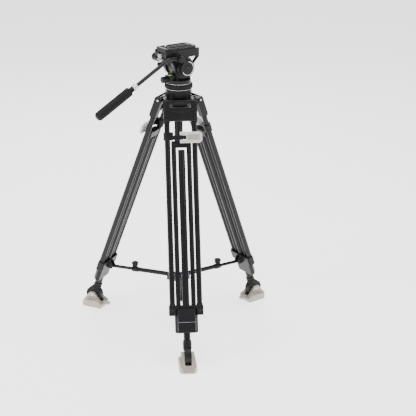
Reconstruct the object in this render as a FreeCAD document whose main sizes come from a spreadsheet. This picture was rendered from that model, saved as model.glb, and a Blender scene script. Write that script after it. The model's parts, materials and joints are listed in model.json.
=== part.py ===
"""Fluid-head video tripod: twin-tube three-stage legs, mid-level spreader, 75 mm bowl and pan and tilt head.

Millimetres, +Z up, +Y along the shooting direction, +X to the operator's right.
The tripod axis is vertical; z is zero on the floor that the three feet rest on.
"""
import FreeCAD, Part
import math
import os
import re
import Sketcher
from FreeCAD import Placement, Rotation, Vector

# ---------------------------------------------------------------- sizes
# Each size is (name, value, meaning). "station" is a distance down a leg from its hip pin.
SIZES = [
    ("slip_gap", 0.4, "gap between parts that pass one another"),
    ("bearing_gap", 0.05, "radial clearance of pins, shafts and sliding tubes"),
    # stance
    ("lean_angle", 20.5, "spread leg from vertical, degrees"),
    ("leg_reach", 694.3, "hip pin to ankle pin along the leg"),
    ("ankle_height", 38, "ankle pin above the floor"),
    ("hip_circle", 41.3, "hip pin from the tripod axis"),
    # tubes
    ("outer_tube_dia", 15, "upper stage tubes"),
    ("outer_spacing", 75, "between the axes of the two upper tubes"),
    ("mid_tube_dia", 13.3, "middle stage tubes"),
    ("mid_spacing", 41.6, "between the axes of the two middle tubes"),
    ("lower_tube_dia", 19, "single lower tube"),
    ("tube_wall", 1.2, "wall of every leg tube"),
    # yoke at the top of a leg
    ("yoke_wide", 92, "yoke across both cheeks"),
    ("yoke_deep", 19, "yoke cheek, front to back"),
    ("cheek_thick", 15.2, "one yoke cheek"),
    ("hood_thick", 3.5, "front wall of the yoke"),
    ("hood_top", 5, "hood above the hip pin"),
    ("socket_top", 28, "station where the solid part of the yoke begins"),
    ("yoke_end", 53, "station of the yoke's lower edge"),
    ("window_top", 3, "station of the window's upper edge"),
    ("window_end", 16, "station of the window's lower edge"),
    ("window_wide", 59, "window in the hood"),
    ("hip_bolt_dia", 6, "hip bolt shank"),
    ("hip_head_dia", 11, "hip bolt head"),
    ("hip_head_thick", 1.6, "hip bolt head"),
    ("hip_bolt_inner", 20, "hip bolt tip from the middle of the leg"),
    # stage lock on the left upper tube
    ("lock_top", 82, "station of the lock's upper edge"),
    ("lock_tall", 30.5, "lock lever along the leg"),
    ("sleeve_tall", 22, "lock sleeve along the leg"),
    ("sleeve_wall", 3.2, "lock sleeve around its tube"),
    ("lock_pin_out", 14.3, "lock pin in front of the tube axes"),
    ("lock_pin_dia", 4, "lock pin"),
    ("lock_eye_dia", 9, "ear and prong around the lock pin"),
    ("lock_ear_tall", 12, "ear between the lever's prongs"),
    ("lever_reach", 57, "lock pin to the lever's tip"),
    ("lever_thick", 5, "lever plate"),
    # middle stage
    ("mid_top", 106, "station of the middle bracket's upper edge"),
    ("mid_bracket_tall", 18.6, "middle stage upper bracket"),
    ("mid_bracket_wide", 54.4, "middle stage upper bracket"),
    ("mid_bracket_deep", 17, "middle stage upper bracket, front to back"),
    ("casting_tall", 67, "middle stage lower casting"),
    ("casting_wide", 57, "lower casting between the sleeves"),
    ("casting_front", 12, "lower casting in front of the tube axes"),
    ("casting_back", 9, "lower casting behind the tube axes"),
    ("casting_skirt", 63, "lower casting below the sleeves"),
    # lower bracket of the upper stage
    ("web_tall", 8, "guide web of the lower bracket"),
    ("bracket_tall", 27, "lower bracket along the leg"),
    ("bracket_wide", 95, "lower bracket"),
    ("bracket_front", 8, "lower bracket in front of the tube axes"),
    ("bracket_back", 13, "lower bracket behind the tube axes"),
    # lower stage
    ("lower_top", 130, "station of the lower tube's upper end"),
    ("boot_dia", 23.6, "collar on the lower tube"),
    ("boot_tall", 22, "collar on the lower tube"),
    ("stem_dia", 21, "stem below the collar"),
    ("stem_clear", 14, "stem end above the ankle pin"),
    ("casting_to_boot", 23, "bare lower tube between casting and collar"),
    # ankle and foot
    ("knuckle_dia", 49, "round knuckle on the ankle pin"),
    ("knuckle_thick", 18, "round knuckle on the ankle pin"),
    ("ankle_pin_dia", 8, "trunnions of the knuckle"),
    ("foot_wide", 47, "foot pad"),
    ("foot_top_wide", 36, "foot pad across its arch"),
    ("foot_toe", 38, "foot pad in front of the ankle pin"),
    ("foot_heel", 34, "foot pad behind the ankle pin"),
    ("foot_arch", 47, "foot pad's arch above the floor"),
    ("foot_slot_floor", 9, "floor of the knuckle slot"),
    ("foot_tab", 50, "pull tab's end behind the ankle pin"),
    # spreader
    ("spread_pin_back", 21.7, "spreader pin behind the tube axes"),
    ("spread_pin_up", 8, "spreader pin above the lower bracket's end"),
    ("spread_pin_dia", 5, "spreader pins"),
    ("hub_circle", 28, "arm pin from the tripod axis"),
    ("hub_height", 150, "arm pins above the floor"),
    ("arm_tube_dia", 13, "outer arm of the spreader"),
    ("arm_rod_dia", 9.6, "inner arm of the spreader"),
    ("arm_tube_long", 124, "outer arm from its pin"),
    ("arm_rod_from", 48, "inner arm's hidden end from the hub pin"),
    ("arm_eye_thick", 8, "flat eyes of the arms"),
    ("arm_eye_dia", 10, "flat eyes of the arms"),
    ("hub_core_dia", 28, "middle of the hub"),
    ("hub_tall", 7, "middle of the hub"),
    ("hub_drop", 7, "middle of the hub below the arm pins"),
    ("hub_ear_thick", 4, "one ear of a hub fork"),
    ("knob_dia", 17, "arm lock knob"),
    ("knob_tall", 12, "arm lock knob"),
    ("knob_boss_tall", 4, "boss under the arm lock knob"),
    # bowl, half ball and tie-down
    ("rim_rise", 1.7, "bowl rim above the hip pins"),
    ("ball_dia", 75, "half ball"),
    ("bowl_wall", 4.5, "bowl below the ball"),
    ("bowl_outer_dia", 87, "bowl rim outside"),
    ("bowl_hole_dia", 30, "opening under the ball"),
    ("ball_cut", 26, "flat underside of the half ball below its centre"),
    ("washer_thick", 3.5, "spherical washer"),
    ("washer_dia", 48, "spherical washer"),
    ("washer_hole", 27, "hole in the spherical washer"),
    ("stud_dia", 12, "tie-down stud"),
    ("stud_long", 92, "tie-down stud below the ball's centre"),
    ("tie_dia", 23, "tie-down handle grip"),
    ("tie_cup_dia", 36, "tie-down handle cup"),
    ("tie_end", 139, "tie-down handle's end below the ball's centre"),
    # head: heights above the ball's centre
    ("neck_dia", 68, "neck of the ball base"),
    ("neck_top_dia", 70, "neck under the drag ring"),
    ("neck_top", 30, "top of the ball base's neck"),
    ("ring_dia", 77.4, "drag ring"),
    ("ring_tall", 13, "drag ring"),
    ("ring_bore", 48, "bearing of the drag ring"),
    ("spindle_dia", 20, "pan spindle"),
    ("spindle_top", 58, "top of the pan spindle"),
    ("flange_dia", 68, "base flange of the pan housing"),
    ("flange_top", 56, "top of the base flange"),
    ("tilt_height", 91.3, "tilt axis"),
    ("drum_dia", 52, "tilt drum"),
    ("drum_long", 76, "tilt drum"),
    ("body_wide", 37, "pan housing between the side plates"),
    ("plate_thick", 8, "one side plate of the cradle"),
    ("cradle_wide", 54, "cradle"),
    ("hoop_dia", 61, "cradle's hoop around the drum"),
    ("dial_dia", 43, "counterbalance dial"),
    ("dial_thick", 6, "counterbalance dial"),
    # cradle, from the tilt axis
    ("deck_low", 31, "underside of the cradle's deck"),
    ("deck_high", 43, "floor of the plate channel"),
    ("rail_high", 49, "top of the plate rails"),
    ("deck_front", 50, "front end of the cradle"),
    ("deck_rear", 60, "rear end of the cradle"),
    ("channel_wide", 46, "dovetail channel at its floor"),
    ("channel_mouth", 38, "dovetail channel at its mouth"),
    # camera plate
    ("camera_plate_wide", 50, "camera plate"),
    ("camera_plate_front", 42, "camera plate in front of the tilt axis"),
    ("camera_plate_rear", 58, "camera plate behind the tilt axis"),
    ("camera_plate_top", 56, "camera plate's face above the tilt axis"),
    ("camera_slot_wide", 7, "slot for the camera screw"),
    ("camera_screw_dia", 6.35, "camera screw thread"),
    ("camera_screw_back", 43, "camera screw behind the tilt axis"),
    ("camera_screw_rise", 5, "camera screw above the plate"),
    ("screw_head_dia", 14, "camera screw head"),
    ("pan_knob_dia", 17, "pan lock knob"),
    ("pan_knob_shaft", 6, "pan lock knob shaft"),
    ("plate_boss_dia", 22, "boss and knob of the plate lock"),
    ("plate_knob_shaft", 8, "plate lock shaft"),
    ("rosette_pin_dia", 8, "pin of the handle rosette"),
    # pan handle, from the tilt axis
    ("rosette_dia", 22, "handle rosette"),
    ("rosette_thick", 4, "fixed half of the rosette beyond the cradle"),
    ("rosette_pin_long", 12, "pin of the handle rosette"),
    ("clamp_outer", 6, "outer face of the clamp eye from the rod's axis"),
    ("rosette_back", 24, "rosette behind the tilt axis"),
    ("rosette_up", 30, "rosette above the tilt axis"),
    ("handle_dia", 10.5, "pan handle rod"),
    ("handle_clear", 10, "handle rod's axis from the cradle's side"),
    ("handle_bend_back", 60, "bend of the rod behind the tilt axis"),
    ("handle_bend_radius", 28, "bend of the rod"),
    ("handle_slope", 29, "rod below level, degrees"),
    ("handle_rod_long", 205, "rod from the bend to its end"),
    ("collar_from", 118, "collar from the bend, along the rod"),
    ("collar_long", 9, "collar"),
    ("collar_dia", 17, "collar"),
    ("grip_from", 139, "grip from the bend, along the rod"),
    ("grip_long", 118, "grip"),
    ("grip_dia", 25, "grip"),
]

# Sizes that follow from the others.
DERIVED = {
    "hip_height": "(ankle_height + leg_reach * cos(lean_angle))",
    "ball_height": "(hip_height + rim_rise)",
    "tilt_axis_height": "(ball_height + tilt_height)",
    "tube_half": "(outer_spacing / 2)",
    "mid_half": "(mid_spacing / 2)",
    "yoke_front": "(yoke_deep / 2)",
    "ear_half": "(yoke_wide / 2 - cheek_thick - slip_gap)",
    "tube_top": "(socket_top + 4)",
    "boot_end": "(leg_reach - stem_clear - 3.3)",
    "lower_end": "(boot_end - boot_tall)",
    "casting_end": "(lower_end - casting_to_boot)",
    "casting_top": "(casting_end - casting_tall)",
    "web_end": "(casting_top - slip_gap)",
    "bracket_top": "(web_end - web_tall)",
    "bracket_end": "(bracket_top + bracket_tall)",
    "tube_end": "(bracket_end - 8)",
    "spread_station": "(bracket_end - spread_pin_up)",
    "mid_tube_end": "(casting_top + 25)",
    "foot_slot_half": "(knuckle_thick / 2 + slip_gap)",
    "wall_under_bowl": "(ball_dia / 2 + bearing_gap + bowl_wall)",
    "washer_inner": "(wall_under_bowl + bearing_gap)",
    "washer_outer": "(washer_inner + washer_thick)",
    "tie_cup_radius": "(washer_outer + bearing_gap)",
    "ring_low": "(neck_top + slip_gap)",
    "ring_high": "(ring_low + ring_tall)",
    "housing_low": "(ring_high + slip_gap)",
    "drum_end": "(drum_long / 2)",
    "plate_outer": "(cradle_wide / 2)",
    "plate_inner": "(cradle_wide / 2 - plate_thick)",
    "handle_side": "(plate_outer + handle_clear)",
}

LEG_AZIMUTHS = {"front_leg": 90.0, "right_leg": -30.0, "left_leg": 210.0}

doc = FreeCAD.newDocument("video_tripod")
sheet = doc.addObject("Spreadsheet::Sheet", "Sizes")
for row, (alias, number, meaning) in enumerate(SIZES, start=1):
    sheet.set(f"A{row}", alias)
    sheet.set(f"B{row}", str(number))
    sheet.set(f"C{row}", meaning)
    sheet.setAlias(f"B{row}", alias)
doc.recompute()
ALIASES = {alias for alias, number, meaning in SIZES}


# ---------------------------------------------------------------- helpers
def linked(text):
    """An expression on the sheet: derived names are spelled out and aliases point at the sheet."""

    def spell(match):
        word = match.group(0)
        if word in DERIVED:
            return linked(DERIVED[word])
        return f"Sizes.{word}" if word in ALIASES else word

    return re.sub(r"[a-z_]+", spell, str(text))


def size(text):
    """The present value of an expression."""
    return float(sheet.evalExpression(linked(text)))


def bind(feature, name, text):
    """Ties one property of a feature to an expression."""
    feature.setExpression(name, linked(text))


def new_body(label):
    """An empty PartDesign body."""
    body = doc.addObject("PartDesign::Body", label)
    body.Label = label
    return body


def new_sketch(body, plane, offset):
    """A sketch on one of the body's origin planes, moved along the plane's normal."""
    role = f"{plane}_Plane"
    support = next(item for item in body.Origin.OriginFeatures if item.Role == role)
    sketch = body.newObject("Sketcher::SketchObject", "Sketch")
    sketch.AttachmentSupport = [(support, "")]
    sketch.MapMode = "FlatFace"
    bind(sketch, "AttachmentOffset.Base.z", offset)
    return sketch


def pin_point(sketch, geometry, end, place):
    """Holds one point of a sketch at a place given by two expressions."""
    for kind, text in (("DistanceX", place[0]), ("DistanceY", place[1])):
        index = sketch.addConstraint(Sketcher.Constraint(kind, -1, 1, geometry, end, size(text)))
        bind(sketch, f"Constraints[{index}]", text)


def draw(sketch, shape):
    """Draws a circle (x, y, radius) or a closed outline (list of points) and constrains it."""
    if isinstance(shape, tuple):
        x, y, radius = shape
        circle = Part.Circle(Vector(size(x), size(y), 0), Vector(0, 0, 1), size(radius))
        geometry = sketch.addGeometry(circle)
        pin_point(sketch, geometry, 3, (x, y))
        index = sketch.addConstraint(Sketcher.Constraint("Radius", geometry, size(radius)))
        bind(sketch, f"Constraints[{index}]", radius)
        return
    corners = [Vector(size(x), size(y), 0) for x, y in shape]
    lines = [
        sketch.addGeometry(Part.LineSegment(start, end))
        for start, end in zip(corners, corners[1:] + corners[:1])
    ]
    for line, following in zip(lines, lines[1:] + lines[:1]):
        sketch.addConstraint(Sketcher.Constraint("Coincident", line, 2, following, 1))
    for line, place in zip(lines, shape):
        pin_point(sketch, line, 1, place)


def extrude(body, plane, low, high, shapes, cut=False):
    """Adds or cuts shapes drawn on a plane, from low to high along the axis across that plane."""
    flipped = plane == "XZ"
    start = high if flipped != cut else low
    sketch = new_sketch(body, plane, f"-({start})" if flipped else start)
    for shape in shapes:
        draw(sketch, shape)
    feature = body.newObject("PartDesign::Pocket" if cut else "PartDesign::Pad", "Extrusion")
    feature.Profile = sketch
    bind(feature, "Length", f"({high}) - ({low})")
    return feature


def turn(body, outline, cut=False, axis="V_Axis", plane="XZ"):
    """Adds or cuts a full turn of an outline about one axis of its sketch."""
    sketch = new_sketch(body, plane, "0")
    draw(sketch, outline)
    feature = body.newObject("PartDesign::Groove" if cut else "PartDesign::Revolution", "Turn")
    feature.Profile = sketch
    feature.ReferenceAxis = (sketch, [axis])
    return feature


def box(across, along):
    """A rectangle outline from two pairs of expressions."""
    return [(across[0], along[0]), (across[1], along[0]), (across[1], along[1]), (across[0], along[1])]


def soften(body, base, radius, chosen, kind="Fillet"):
    """Fillets or chamfers those edges of a feature that the chosen test accepts."""
    doc.recompute()
    names = [f"Edge{i}" for i, edge in enumerate(base.Shape.Edges, start=1) if chosen(edge)]
    feature = body.newObject(f"PartDesign::{kind}", kind)
    feature.Base = (base, names)
    bind(feature, "Radius" if kind == "Fillet" else "Size", radius)
    return feature


def runs_along(edge, axis):
    """Whether an edge is straight and parallel to an axis."""
    if edge.Curve.TypeId != "Part::GeomLine":
        return False
    direction = edge.tangentAt(edge.FirstParameter)
    return abs(abs(direction.dot(axis)) - 1) < 1e-6


def middle(edge):
    """The middle point of an edge."""
    return edge.valueAt((edge.FirstParameter + edge.LastParameter) / 2)


def cylinder(label, radius, low, high, place=("0", "0"), axis="Z"):
    """A Part cylinder along X, Y or Z between two expressions, its axis at a place across it."""
    tube = doc.addObject("Part::Cylinder", label)
    bind(tube, "Radius", radius)
    bind(tube, "Height", f"({high}) - ({low})")
    turned = {"X": Rotation(Vector(0, 1, 0), 90), "Y": Rotation(Vector(1, 0, 0), -90), "Z": Rotation()}
    order = {"X": "xyz", "Y": "yxz", "Z": "zxy"}[axis]
    tube.Placement = Placement(Vector(), turned[axis])
    for direction, text in zip(order, (low, *place)):
        bind(tube, f"Placement.Base.{direction}", text)
    return tube


def cone(label, low_radius, high_radius, low, high):
    """A Part cone on the Z axis between two heights."""
    solid = doc.addObject("Part::Cone", label)
    bind(solid, "Radius1", low_radius)
    bind(solid, "Radius2", high_radius)
    bind(solid, "Height", f"({high}) - ({low})")
    bind(solid, "Placement.Base.z", low)
    return solid


def ball(label, radius):
    """A Part sphere on the origin."""
    solid = doc.addObject("Part::Sphere", label)
    bind(solid, "Radius", radius)
    return solid


def block(label, across, along, upward):
    """A Part box between three pairs of expressions."""
    solid = doc.addObject("Part::Box", label)
    for name, direction, span in (("Length", "x", across), ("Width", "y", along), ("Height", "z", upward)):
        bind(solid, name, f"({span[1]}) - ({span[0]})")
        bind(solid, f"Placement.Base.{direction}", span[0])
    return solid


def overlap_of(label, first, second):
    """The shared part of two Part objects."""
    shared = doc.addObject("Part::Common", label)
    shared.Base = first
    shared.Tool = second
    shared.Label = label
    return shared


def join(label, pieces, kind="Part::MultiFuse"):
    """Joins Part objects into one sub-part; Part::Compound keeps them as separate solids."""
    joined = doc.addObject(kind, label)
    joined.Label = label
    if kind == "Part::Compound":
        joined.Links = pieces
    else:
        joined.Shapes = pieces
    return joined


def cut_away(label, base, tool):
    """One Part object less another."""
    cut = doc.addObject("Part::Cut", label)
    cut.Base = base
    cut.Tool = tool
    cut.Label = label
    return cut


X_AXIS = Vector(1, 0, 0)
Y_AXIS = Vector(0, 1, 0)
Z_AXIS = Vector(0, 0, 1)


# ---------------------------------------------------------------- leg pieces
# A leg's own frame: origin on the hip pin, Z up along the leg, Y outward, X across the tubes.
def leg_yoke(name):
    """Forked casting that swings on the hip bolts and holds the tops of the upper tubes."""
    body = new_body(f"{name}_yoke")
    wide = "yoke_wide / 2"
    extrude(body, "XY", "-yoke_end", "-socket_top", [box((f"-{wide}", wide), ("-yoke_front", "yoke_front"))])
    cheek = [
        ("-yoke_front", "-yoke_end"),
        ("yoke_front", "-yoke_end"),
        ("yoke_front", "0"),
        ("yoke_front * 0.7", "yoke_front * 0.7"),
        ("-yoke_front * 0.7", "yoke_front * 0.7"),
        ("-yoke_front", "0"),
    ]
    inner = f"{wide} - cheek_thick"
    extrude(body, "YZ", inner, wide, [cheek])
    extrude(body, "YZ", f"-({wide})", f"-({inner})", [cheek])
    hood = extrude(
        body, "XZ", "yoke_front", "yoke_front + hood_thick",
        [box(("-yoke_wide / 2 + 2", "yoke_wide / 2 - 2"), ("-yoke_end", "hood_top"))],
    )
    front = size("yoke_front + hood_thick")
    soften(
        body, hood, "hood_thick * 0.9",
        lambda edge: abs(middle(edge).y - front) < 1e-3 or (
            runs_along(edge, Y_AXIS) and middle(edge).y > front - size("hood_thick")),
    )
    extrude(
        body, "XZ", "yoke_front - 1", "yoke_front + hood_thick + 1",
        [box(("-window_wide / 2", "window_wide / 2"), ("-window_end", "-window_top"))], cut=True,
    )
    extrude(
        body, "XY", "-yoke_end", "-tube_top",
        [("tube_half", "0", "outer_tube_dia / 2"), ("-tube_half", "0", "outer_tube_dia / 2")], cut=True,
    )
    extrude(body, "YZ", "-yoke_wide", "yoke_wide", [("0", "0", "hip_bolt_dia / 2 + bearing_gap")], cut=True)
    extrude(
        body, "XY", "-yoke_end", "-socket_top - 5",
        [box(("-tube_half + outer_tube_dia / 2 + 3", "tube_half - outer_tube_dia / 2 - 3"),
             ("-yoke_front", "yoke_front - 2"))],
        cut=True,
    )
    return body


def leg_tube(label, dia, place, top, end):
    """One hollow leg tube between two stations."""
    outside = cylinder(f"{label}_outside", f"{dia} / 2", f"-({end})", f"-({top})", place)
    inside = cylinder(f"{label}_inside", f"{dia} / 2 - tube_wall", f"-({end}) - 1", f"-({top}) + 1", place)
    return cut_away(f"{label}_tube", outside, inside)


def leg_tube_pair(label, dia, half, top, end):
    """Two parallel leg tubes, kept as separate solids of one sub-part."""
    pair = [
        leg_tube(f"{label}_{i}", dia, (f"{sign}{half}", "0"), top, end)
        for i, sign in enumerate(("", "-"))
    ]
    return join(label, pair, "Part::Compound")


def leg_lock_clamp(name):
    """Split sleeve on the left upper tube, with the ear that carries the lock lever."""
    body = new_body(f"{name}_lock_clamp")
    low = "-lock_top - sleeve_tall"
    radius = "outer_tube_dia / 2 + sleeve_wall"
    extrude(body, "XY", low, "-lock_top", [("tube_half", "0", radius)])
    extrude(body, "XY", low, "-lock_top",
            [box(("22", "tube_half"), ("lock_pin_out - 4.5", "lock_pin_out - 1.5"))])
    extrude(
        body, "XY", "-lock_top - lock_tall / 2 - lock_ear_tall / 2",
        "-lock_top - lock_tall / 2 + lock_ear_tall / 2",
        [box(("0", "24"), ("lock_pin_out - 3.5", "lock_pin_out + 2.5"))],
    )
    extrude(
        body, "XY", "-lock_top - lock_tall / 2 - lock_ear_tall / 2",
        "-lock_top - lock_tall / 2 + lock_ear_tall / 2",
        [("0", "lock_pin_out", "lock_eye_dia / 2")],
    )
    extrude(body, "XY", low, "-lock_top", [("tube_half", "0", "outer_tube_dia / 2")], cut=True)
    extrude(body, "XY", "-lock_top - lock_tall", "-lock_top",
            [("0", "lock_pin_out", "lock_pin_dia / 2 + bearing_gap")], cut=True)
    return body


def leg_lock_lever(name):
    """Over-centre lever across the front of the leg, turning on a pin parallel to the tubes."""
    body = new_body(f"{name}_lock_lever")
    low, high = "-lock_top - lock_tall", "-lock_top"
    out_low, out_high = "lock_pin_out - 1.5", "lock_pin_out - 1.5 + lever_thick"
    extrude(body, "XZ", out_low, out_high, [box(("-lever_reach", "2"), (low, high))])
    extrude(body, "XY", low, high, [("0", "lock_pin_out", "lock_eye_dia / 2")])
    tip = size("-lever_reach")
    gap = "lock_ear_tall / 2 + slip_gap"
    extrude(
        body, "XY", f"-lock_top - lock_tall / 2 - ({gap})", f"-lock_top - lock_tall / 2 + {gap}",
        [box(("-10", "6"), ("0", "lock_pin_out * 2"))], cut=True,
    )
    pin = extrude(body, "XY", low, high, [("0", "lock_pin_out", "lock_pin_dia / 2")])
    soften(body, pin, "lock_tall / 3", lambda edge: runs_along(edge, Y_AXIS) and middle(edge).x < tip + 0.01)
    return body


def leg_lower_bracket(name):
    """Casting at the foot of the upper tubes that guides the middle tubes and carries the spreader pin."""
    body = new_body(f"{name}_lower_bracket")
    wide = "bracket_wide / 2"
    depth = ("-yoke_front", "bracket_front")
    extrude(body, "XY", "-web_end", "-bracket_top", [box((f"-{wide}", wide), depth)])
    inner = "casting_wide / 2 + slip_gap"
    sides = [
        box((inner, wide), depth),
        box((f"-{wide}", f"-({inner})"), depth),
    ]
    sleeves = extrude(body, "XY", "-bracket_end", "-bracket_top", sides)
    half = size(wide)
    soften(body, sleeves, "5",
           lambda edge: runs_along(edge, Z_AXIS) and abs(abs(middle(edge).x) - half) < 0.01)
    back_wall = box((f"-{wide} + 6", f"{wide} - 6"), ("-bracket_back", "-yoke_front"))
    extrude(body, "XY", "-bracket_end", "-bracket_top", [back_wall])
    lug_near, lug_far = "arm_eye_thick / 2 + slip_gap", "arm_eye_thick / 2 + slip_gap + 5"
    lug = [
        ("-spread_pin_back - 6", "-spread_station - 5"),
        ("-spread_pin_back - 6", "-spread_station + 5"),
        ("-bracket_back", "-bracket_top - 2"),
        ("-bracket_back", "-bracket_end"),
    ]
    extrude(body, "YZ", lug_near, lug_far, [lug])
    extrude(body, "YZ", f"-({lug_far})", f"-({lug_near})", [lug])
    extrude(body, "YZ", f"-({lug_far}) - 1", f"{lug_far} + 1",
            [("-spread_pin_back", "-spread_station", "spread_pin_dia / 2 + bearing_gap")], cut=True)
    extrude(
        body, "XY", "-tube_end", "-bracket_top + 1",
        [("tube_half", "0", "outer_tube_dia / 2"), ("-tube_half", "0", "outer_tube_dia / 2")], cut=True,
    )
    guide = "mid_tube_dia / 2 + bearing_gap"
    extrude(
        body, "XY", "-web_end - 1", "-bracket_top + 1",
        [("mid_half", "0", guide), ("-mid_half", "0", guide), ("0", "0", "lower_tube_dia / 2 + slip_gap")],
        cut=True,
    )
    return body


def leg_mid_castings(name):
    """Upper bracket and lower casting of the middle stage, two solids that the middle tubes join."""
    upper = new_body(f"{name}_mid_bracket")
    half_deep = "mid_bracket_deep / 2"
    outline = box(("-mid_bracket_wide / 2", "mid_bracket_wide / 2"), (f"-{half_deep}", half_deep))
    block = extrude(upper, "XY", "-mid_top - mid_bracket_tall", "-mid_top", [outline])
    soften(upper, block, "4", lambda edge: runs_along(edge, Z_AXIS))
    sockets = [("mid_half", "0", "mid_tube_dia / 2"), ("-mid_half", "0", "mid_tube_dia / 2")]
    extrude(upper, "XY", "-mid_top - mid_bracket_tall - 1", "-mid_top - 4", sockets, cut=True)

    lower = new_body(f"{name}_mid_casting")
    front, back = "casting_front", "casting_back"
    neck = [
        ("-casting_wide / 2", f"-{back}"),
        ("casting_wide / 2", f"-{back}"),
        ("casting_wide / 2", "bracket_front * 0.4"),
        ("casting_wide / 2 - 7", front),
        ("-casting_wide / 2 + 7", front),
        ("-casting_wide / 2", "bracket_front * 0.4"),
    ]
    extrude(lower, "XY", "-casting_end", "-casting_top", [neck])
    skirt = [
        ("-casting_skirt / 2", f"-{back}"),
        ("casting_skirt / 2", f"-{back}"),
        ("casting_skirt / 2", "bracket_front * 0.4"),
        ("casting_skirt / 2 - 9", front),
        ("-casting_skirt / 2 + 9", front),
        ("-casting_skirt / 2", "bracket_front * 0.4"),
    ]
    skirt_pad = extrude(lower, "XY", "-casting_end", "-bracket_end - 1", [skirt])
    bottom = size("-casting_end")
    soften(lower, skirt_pad, "4", lambda edge: abs(middle(edge).z - bottom) < 0.01)
    extrude(lower, "XY", "-mid_tube_end", "-casting_top + 1", sockets, cut=True)
    extrude(lower, "XY", "-casting_end - 1", "-casting_top + 1",
            [("0", "0", "lower_tube_dia / 2 + bearing_gap")], cut=True)
    return join(f"{name}_mid_castings", [upper, lower], "Part::Compound")


def leg_ankle(name):
    """Collar, stem and round knuckle below the lower tube, with the trunnions of the foot."""
    body = new_body(f"{name}_ankle")
    extrude(body, "XY", "-boot_end", "-lower_end + 3", [("0", "0", "boot_dia / 2")])
    extrude(body, "XY", "-leg_reach + stem_clear", "-boot_end", [("0", "0", "stem_dia / 2")])
    half = "knuckle_thick / 2"
    extrude(body, "YZ", f"-{half}", half, [("0", "-leg_reach", "knuckle_dia / 2")])
    pin = "foot_top_wide / 2"
    extrude(body, "YZ", f"-{pin}", pin, [("0", "-leg_reach", "ankle_pin_dia / 2")])
    extrude(body, "XY", "-lower_end", "-lower_end + 4", [("0", "0", "lower_tube_dia / 2")], cut=True)
    return body


# The foot's own frame: origin on the ankle pin, Y outward, Z up.
def leg_foot_pad(name):
    """Wide foot with an arch on each side of the knuckle and a pull tab on its inner end."""
    body = new_body(f"{name}_foot_pad")
    floor = "-ankle_height"
    arch = "foot_arch - ankle_height"
    side = [
        ("-foot_heel + 3", floor),
        ("foot_toe - 4", floor),
        ("foot_toe", f"{floor} + 4"),
        ("foot_toe - 4", f"{floor} + 13"),
        ("17", "-1"),
        ("8", arch),
        ("-6", arch),
        ("-22", f"{floor} + 24"),
        ("-foot_heel", f"{floor} + 12"),
    ]
    wide = "foot_wide / 2"
    extrude(body, "YZ", f"-{wide}", wide, [side])
    extrude(body, "YZ", "-6", "6", [box(("-foot_tab", "-foot_heel + 4"), (f"{floor} + 10", f"{floor} + 16"))])
    for sign in ("", "-"):
        cheek = [
            (f"{sign}(foot_top_wide / 2)", f"{arch} + 1"),
            (f"{sign}(foot_top_wide / 2)", "-10"),
            (f"{sign}(foot_wide / 2)", "-20"),
            (f"{sign}(foot_wide / 2 + 2)", "-20"),
            (f"{sign}(foot_wide / 2 + 2)", f"{arch} + 1"),
        ]
        extrude(body, "XZ", "-foot_heel - 1", "foot_toe + 1", [cheek], cut=True)
    corner = [("foot_wide / 2 - 11", "foot_toe + 1"), ("foot_wide / 2 + 1", "foot_toe + 1"),
              ("foot_wide / 2 + 1", "foot_toe - 13")]
    mirrored = [(f"-({x})", y) for x, y in corner]
    extrude(body, "XY", f"{floor} - 1", f"{arch} + 1", [corner, mirrored], cut=True)
    slot = ("-foot_slot_half", "foot_slot_half")
    extrude(body, "XY", f"{floor} + foot_slot_floor", f"{arch} + 1",
            [box(slot, ("-knuckle_dia / 2 - 3.5", "knuckle_dia / 2 + 3.5"))], cut=True)
    extrude(body, "YZ", f"-{wide}", wide, [("0", "0", "ankle_pin_dia / 2 + bearing_gap")], cut=True)
    return body


# A spreader arm's own frame: origin on the leg pin, Y outward along the arm, Z up.
def leg_spreader_rod(name, arm_long):
    """Inner arm: a flat eye on the leg's pin and a rod that slides in the outer arm."""
    body = new_body(f"{name}_spreader_rod")
    eye = "arm_eye_thick / 2"
    extrude(body, "XZ", f"-({arm_long}) + arm_rod_from", "-arm_eye_dia", [("0", "0", "arm_rod_dia / 2")])
    extrude(body, "XZ", "-arm_eye_dia - 1", "0",
            [box((f"-{eye}", eye), ("-arm_eye_dia / 3", "arm_eye_dia / 3"))])
    extrude(body, "YZ", f"-{eye}", eye, [("0", "0", "arm_eye_dia / 2")])
    extrude(body, "YZ", f"-({eye} + slip_gap + 5)", f"{eye} + slip_gap + 5",
            [("0", "0", "spread_pin_dia / 2")])
    return body


def leg_spreader_tube(name, arm_long):
    """Outer arm: a flat eye on the hub's pin and a tube around the rod."""
    body = new_body(f"{name}_spreader_tube")
    eye = "arm_eye_thick / 2"
    near, far = f"-({arm_long}) + 8", f"-({arm_long}) + arm_tube_long"
    extrude(body, "XZ", near, far, [("0", "0", "arm_tube_dia / 2")])
    extrude(body, "YZ", f"-{eye}", eye, [(f"-({arm_long})", "0", "arm_eye_dia / 2")])
    extrude(body, "XZ", f"-({arm_long})", f"{near} + 1", [box((f"-{eye}", eye), ("-4", "4"))])
    extrude(body, "XZ", f"{far} - 18", far, [("0", "0", "arm_tube_dia / 2 + 1.6")])
    extrude(body, "XY", "0", "arm_tube_dia / 2 + knob_boss_tall", [("0", f"{far} - 9", "4.5")])
    extrude(body, "XZ", f"{near} + 8", f"{far} + 1", [("0", "0", "arm_rod_dia / 2 + bearing_gap")], cut=True)
    stub = "arm_tube_dia / 2"
    extrude(body, "YZ", f"-({stub})", stub, [(f"-({arm_long})", "0", "spread_pin_dia / 2")])
    return body


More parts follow.
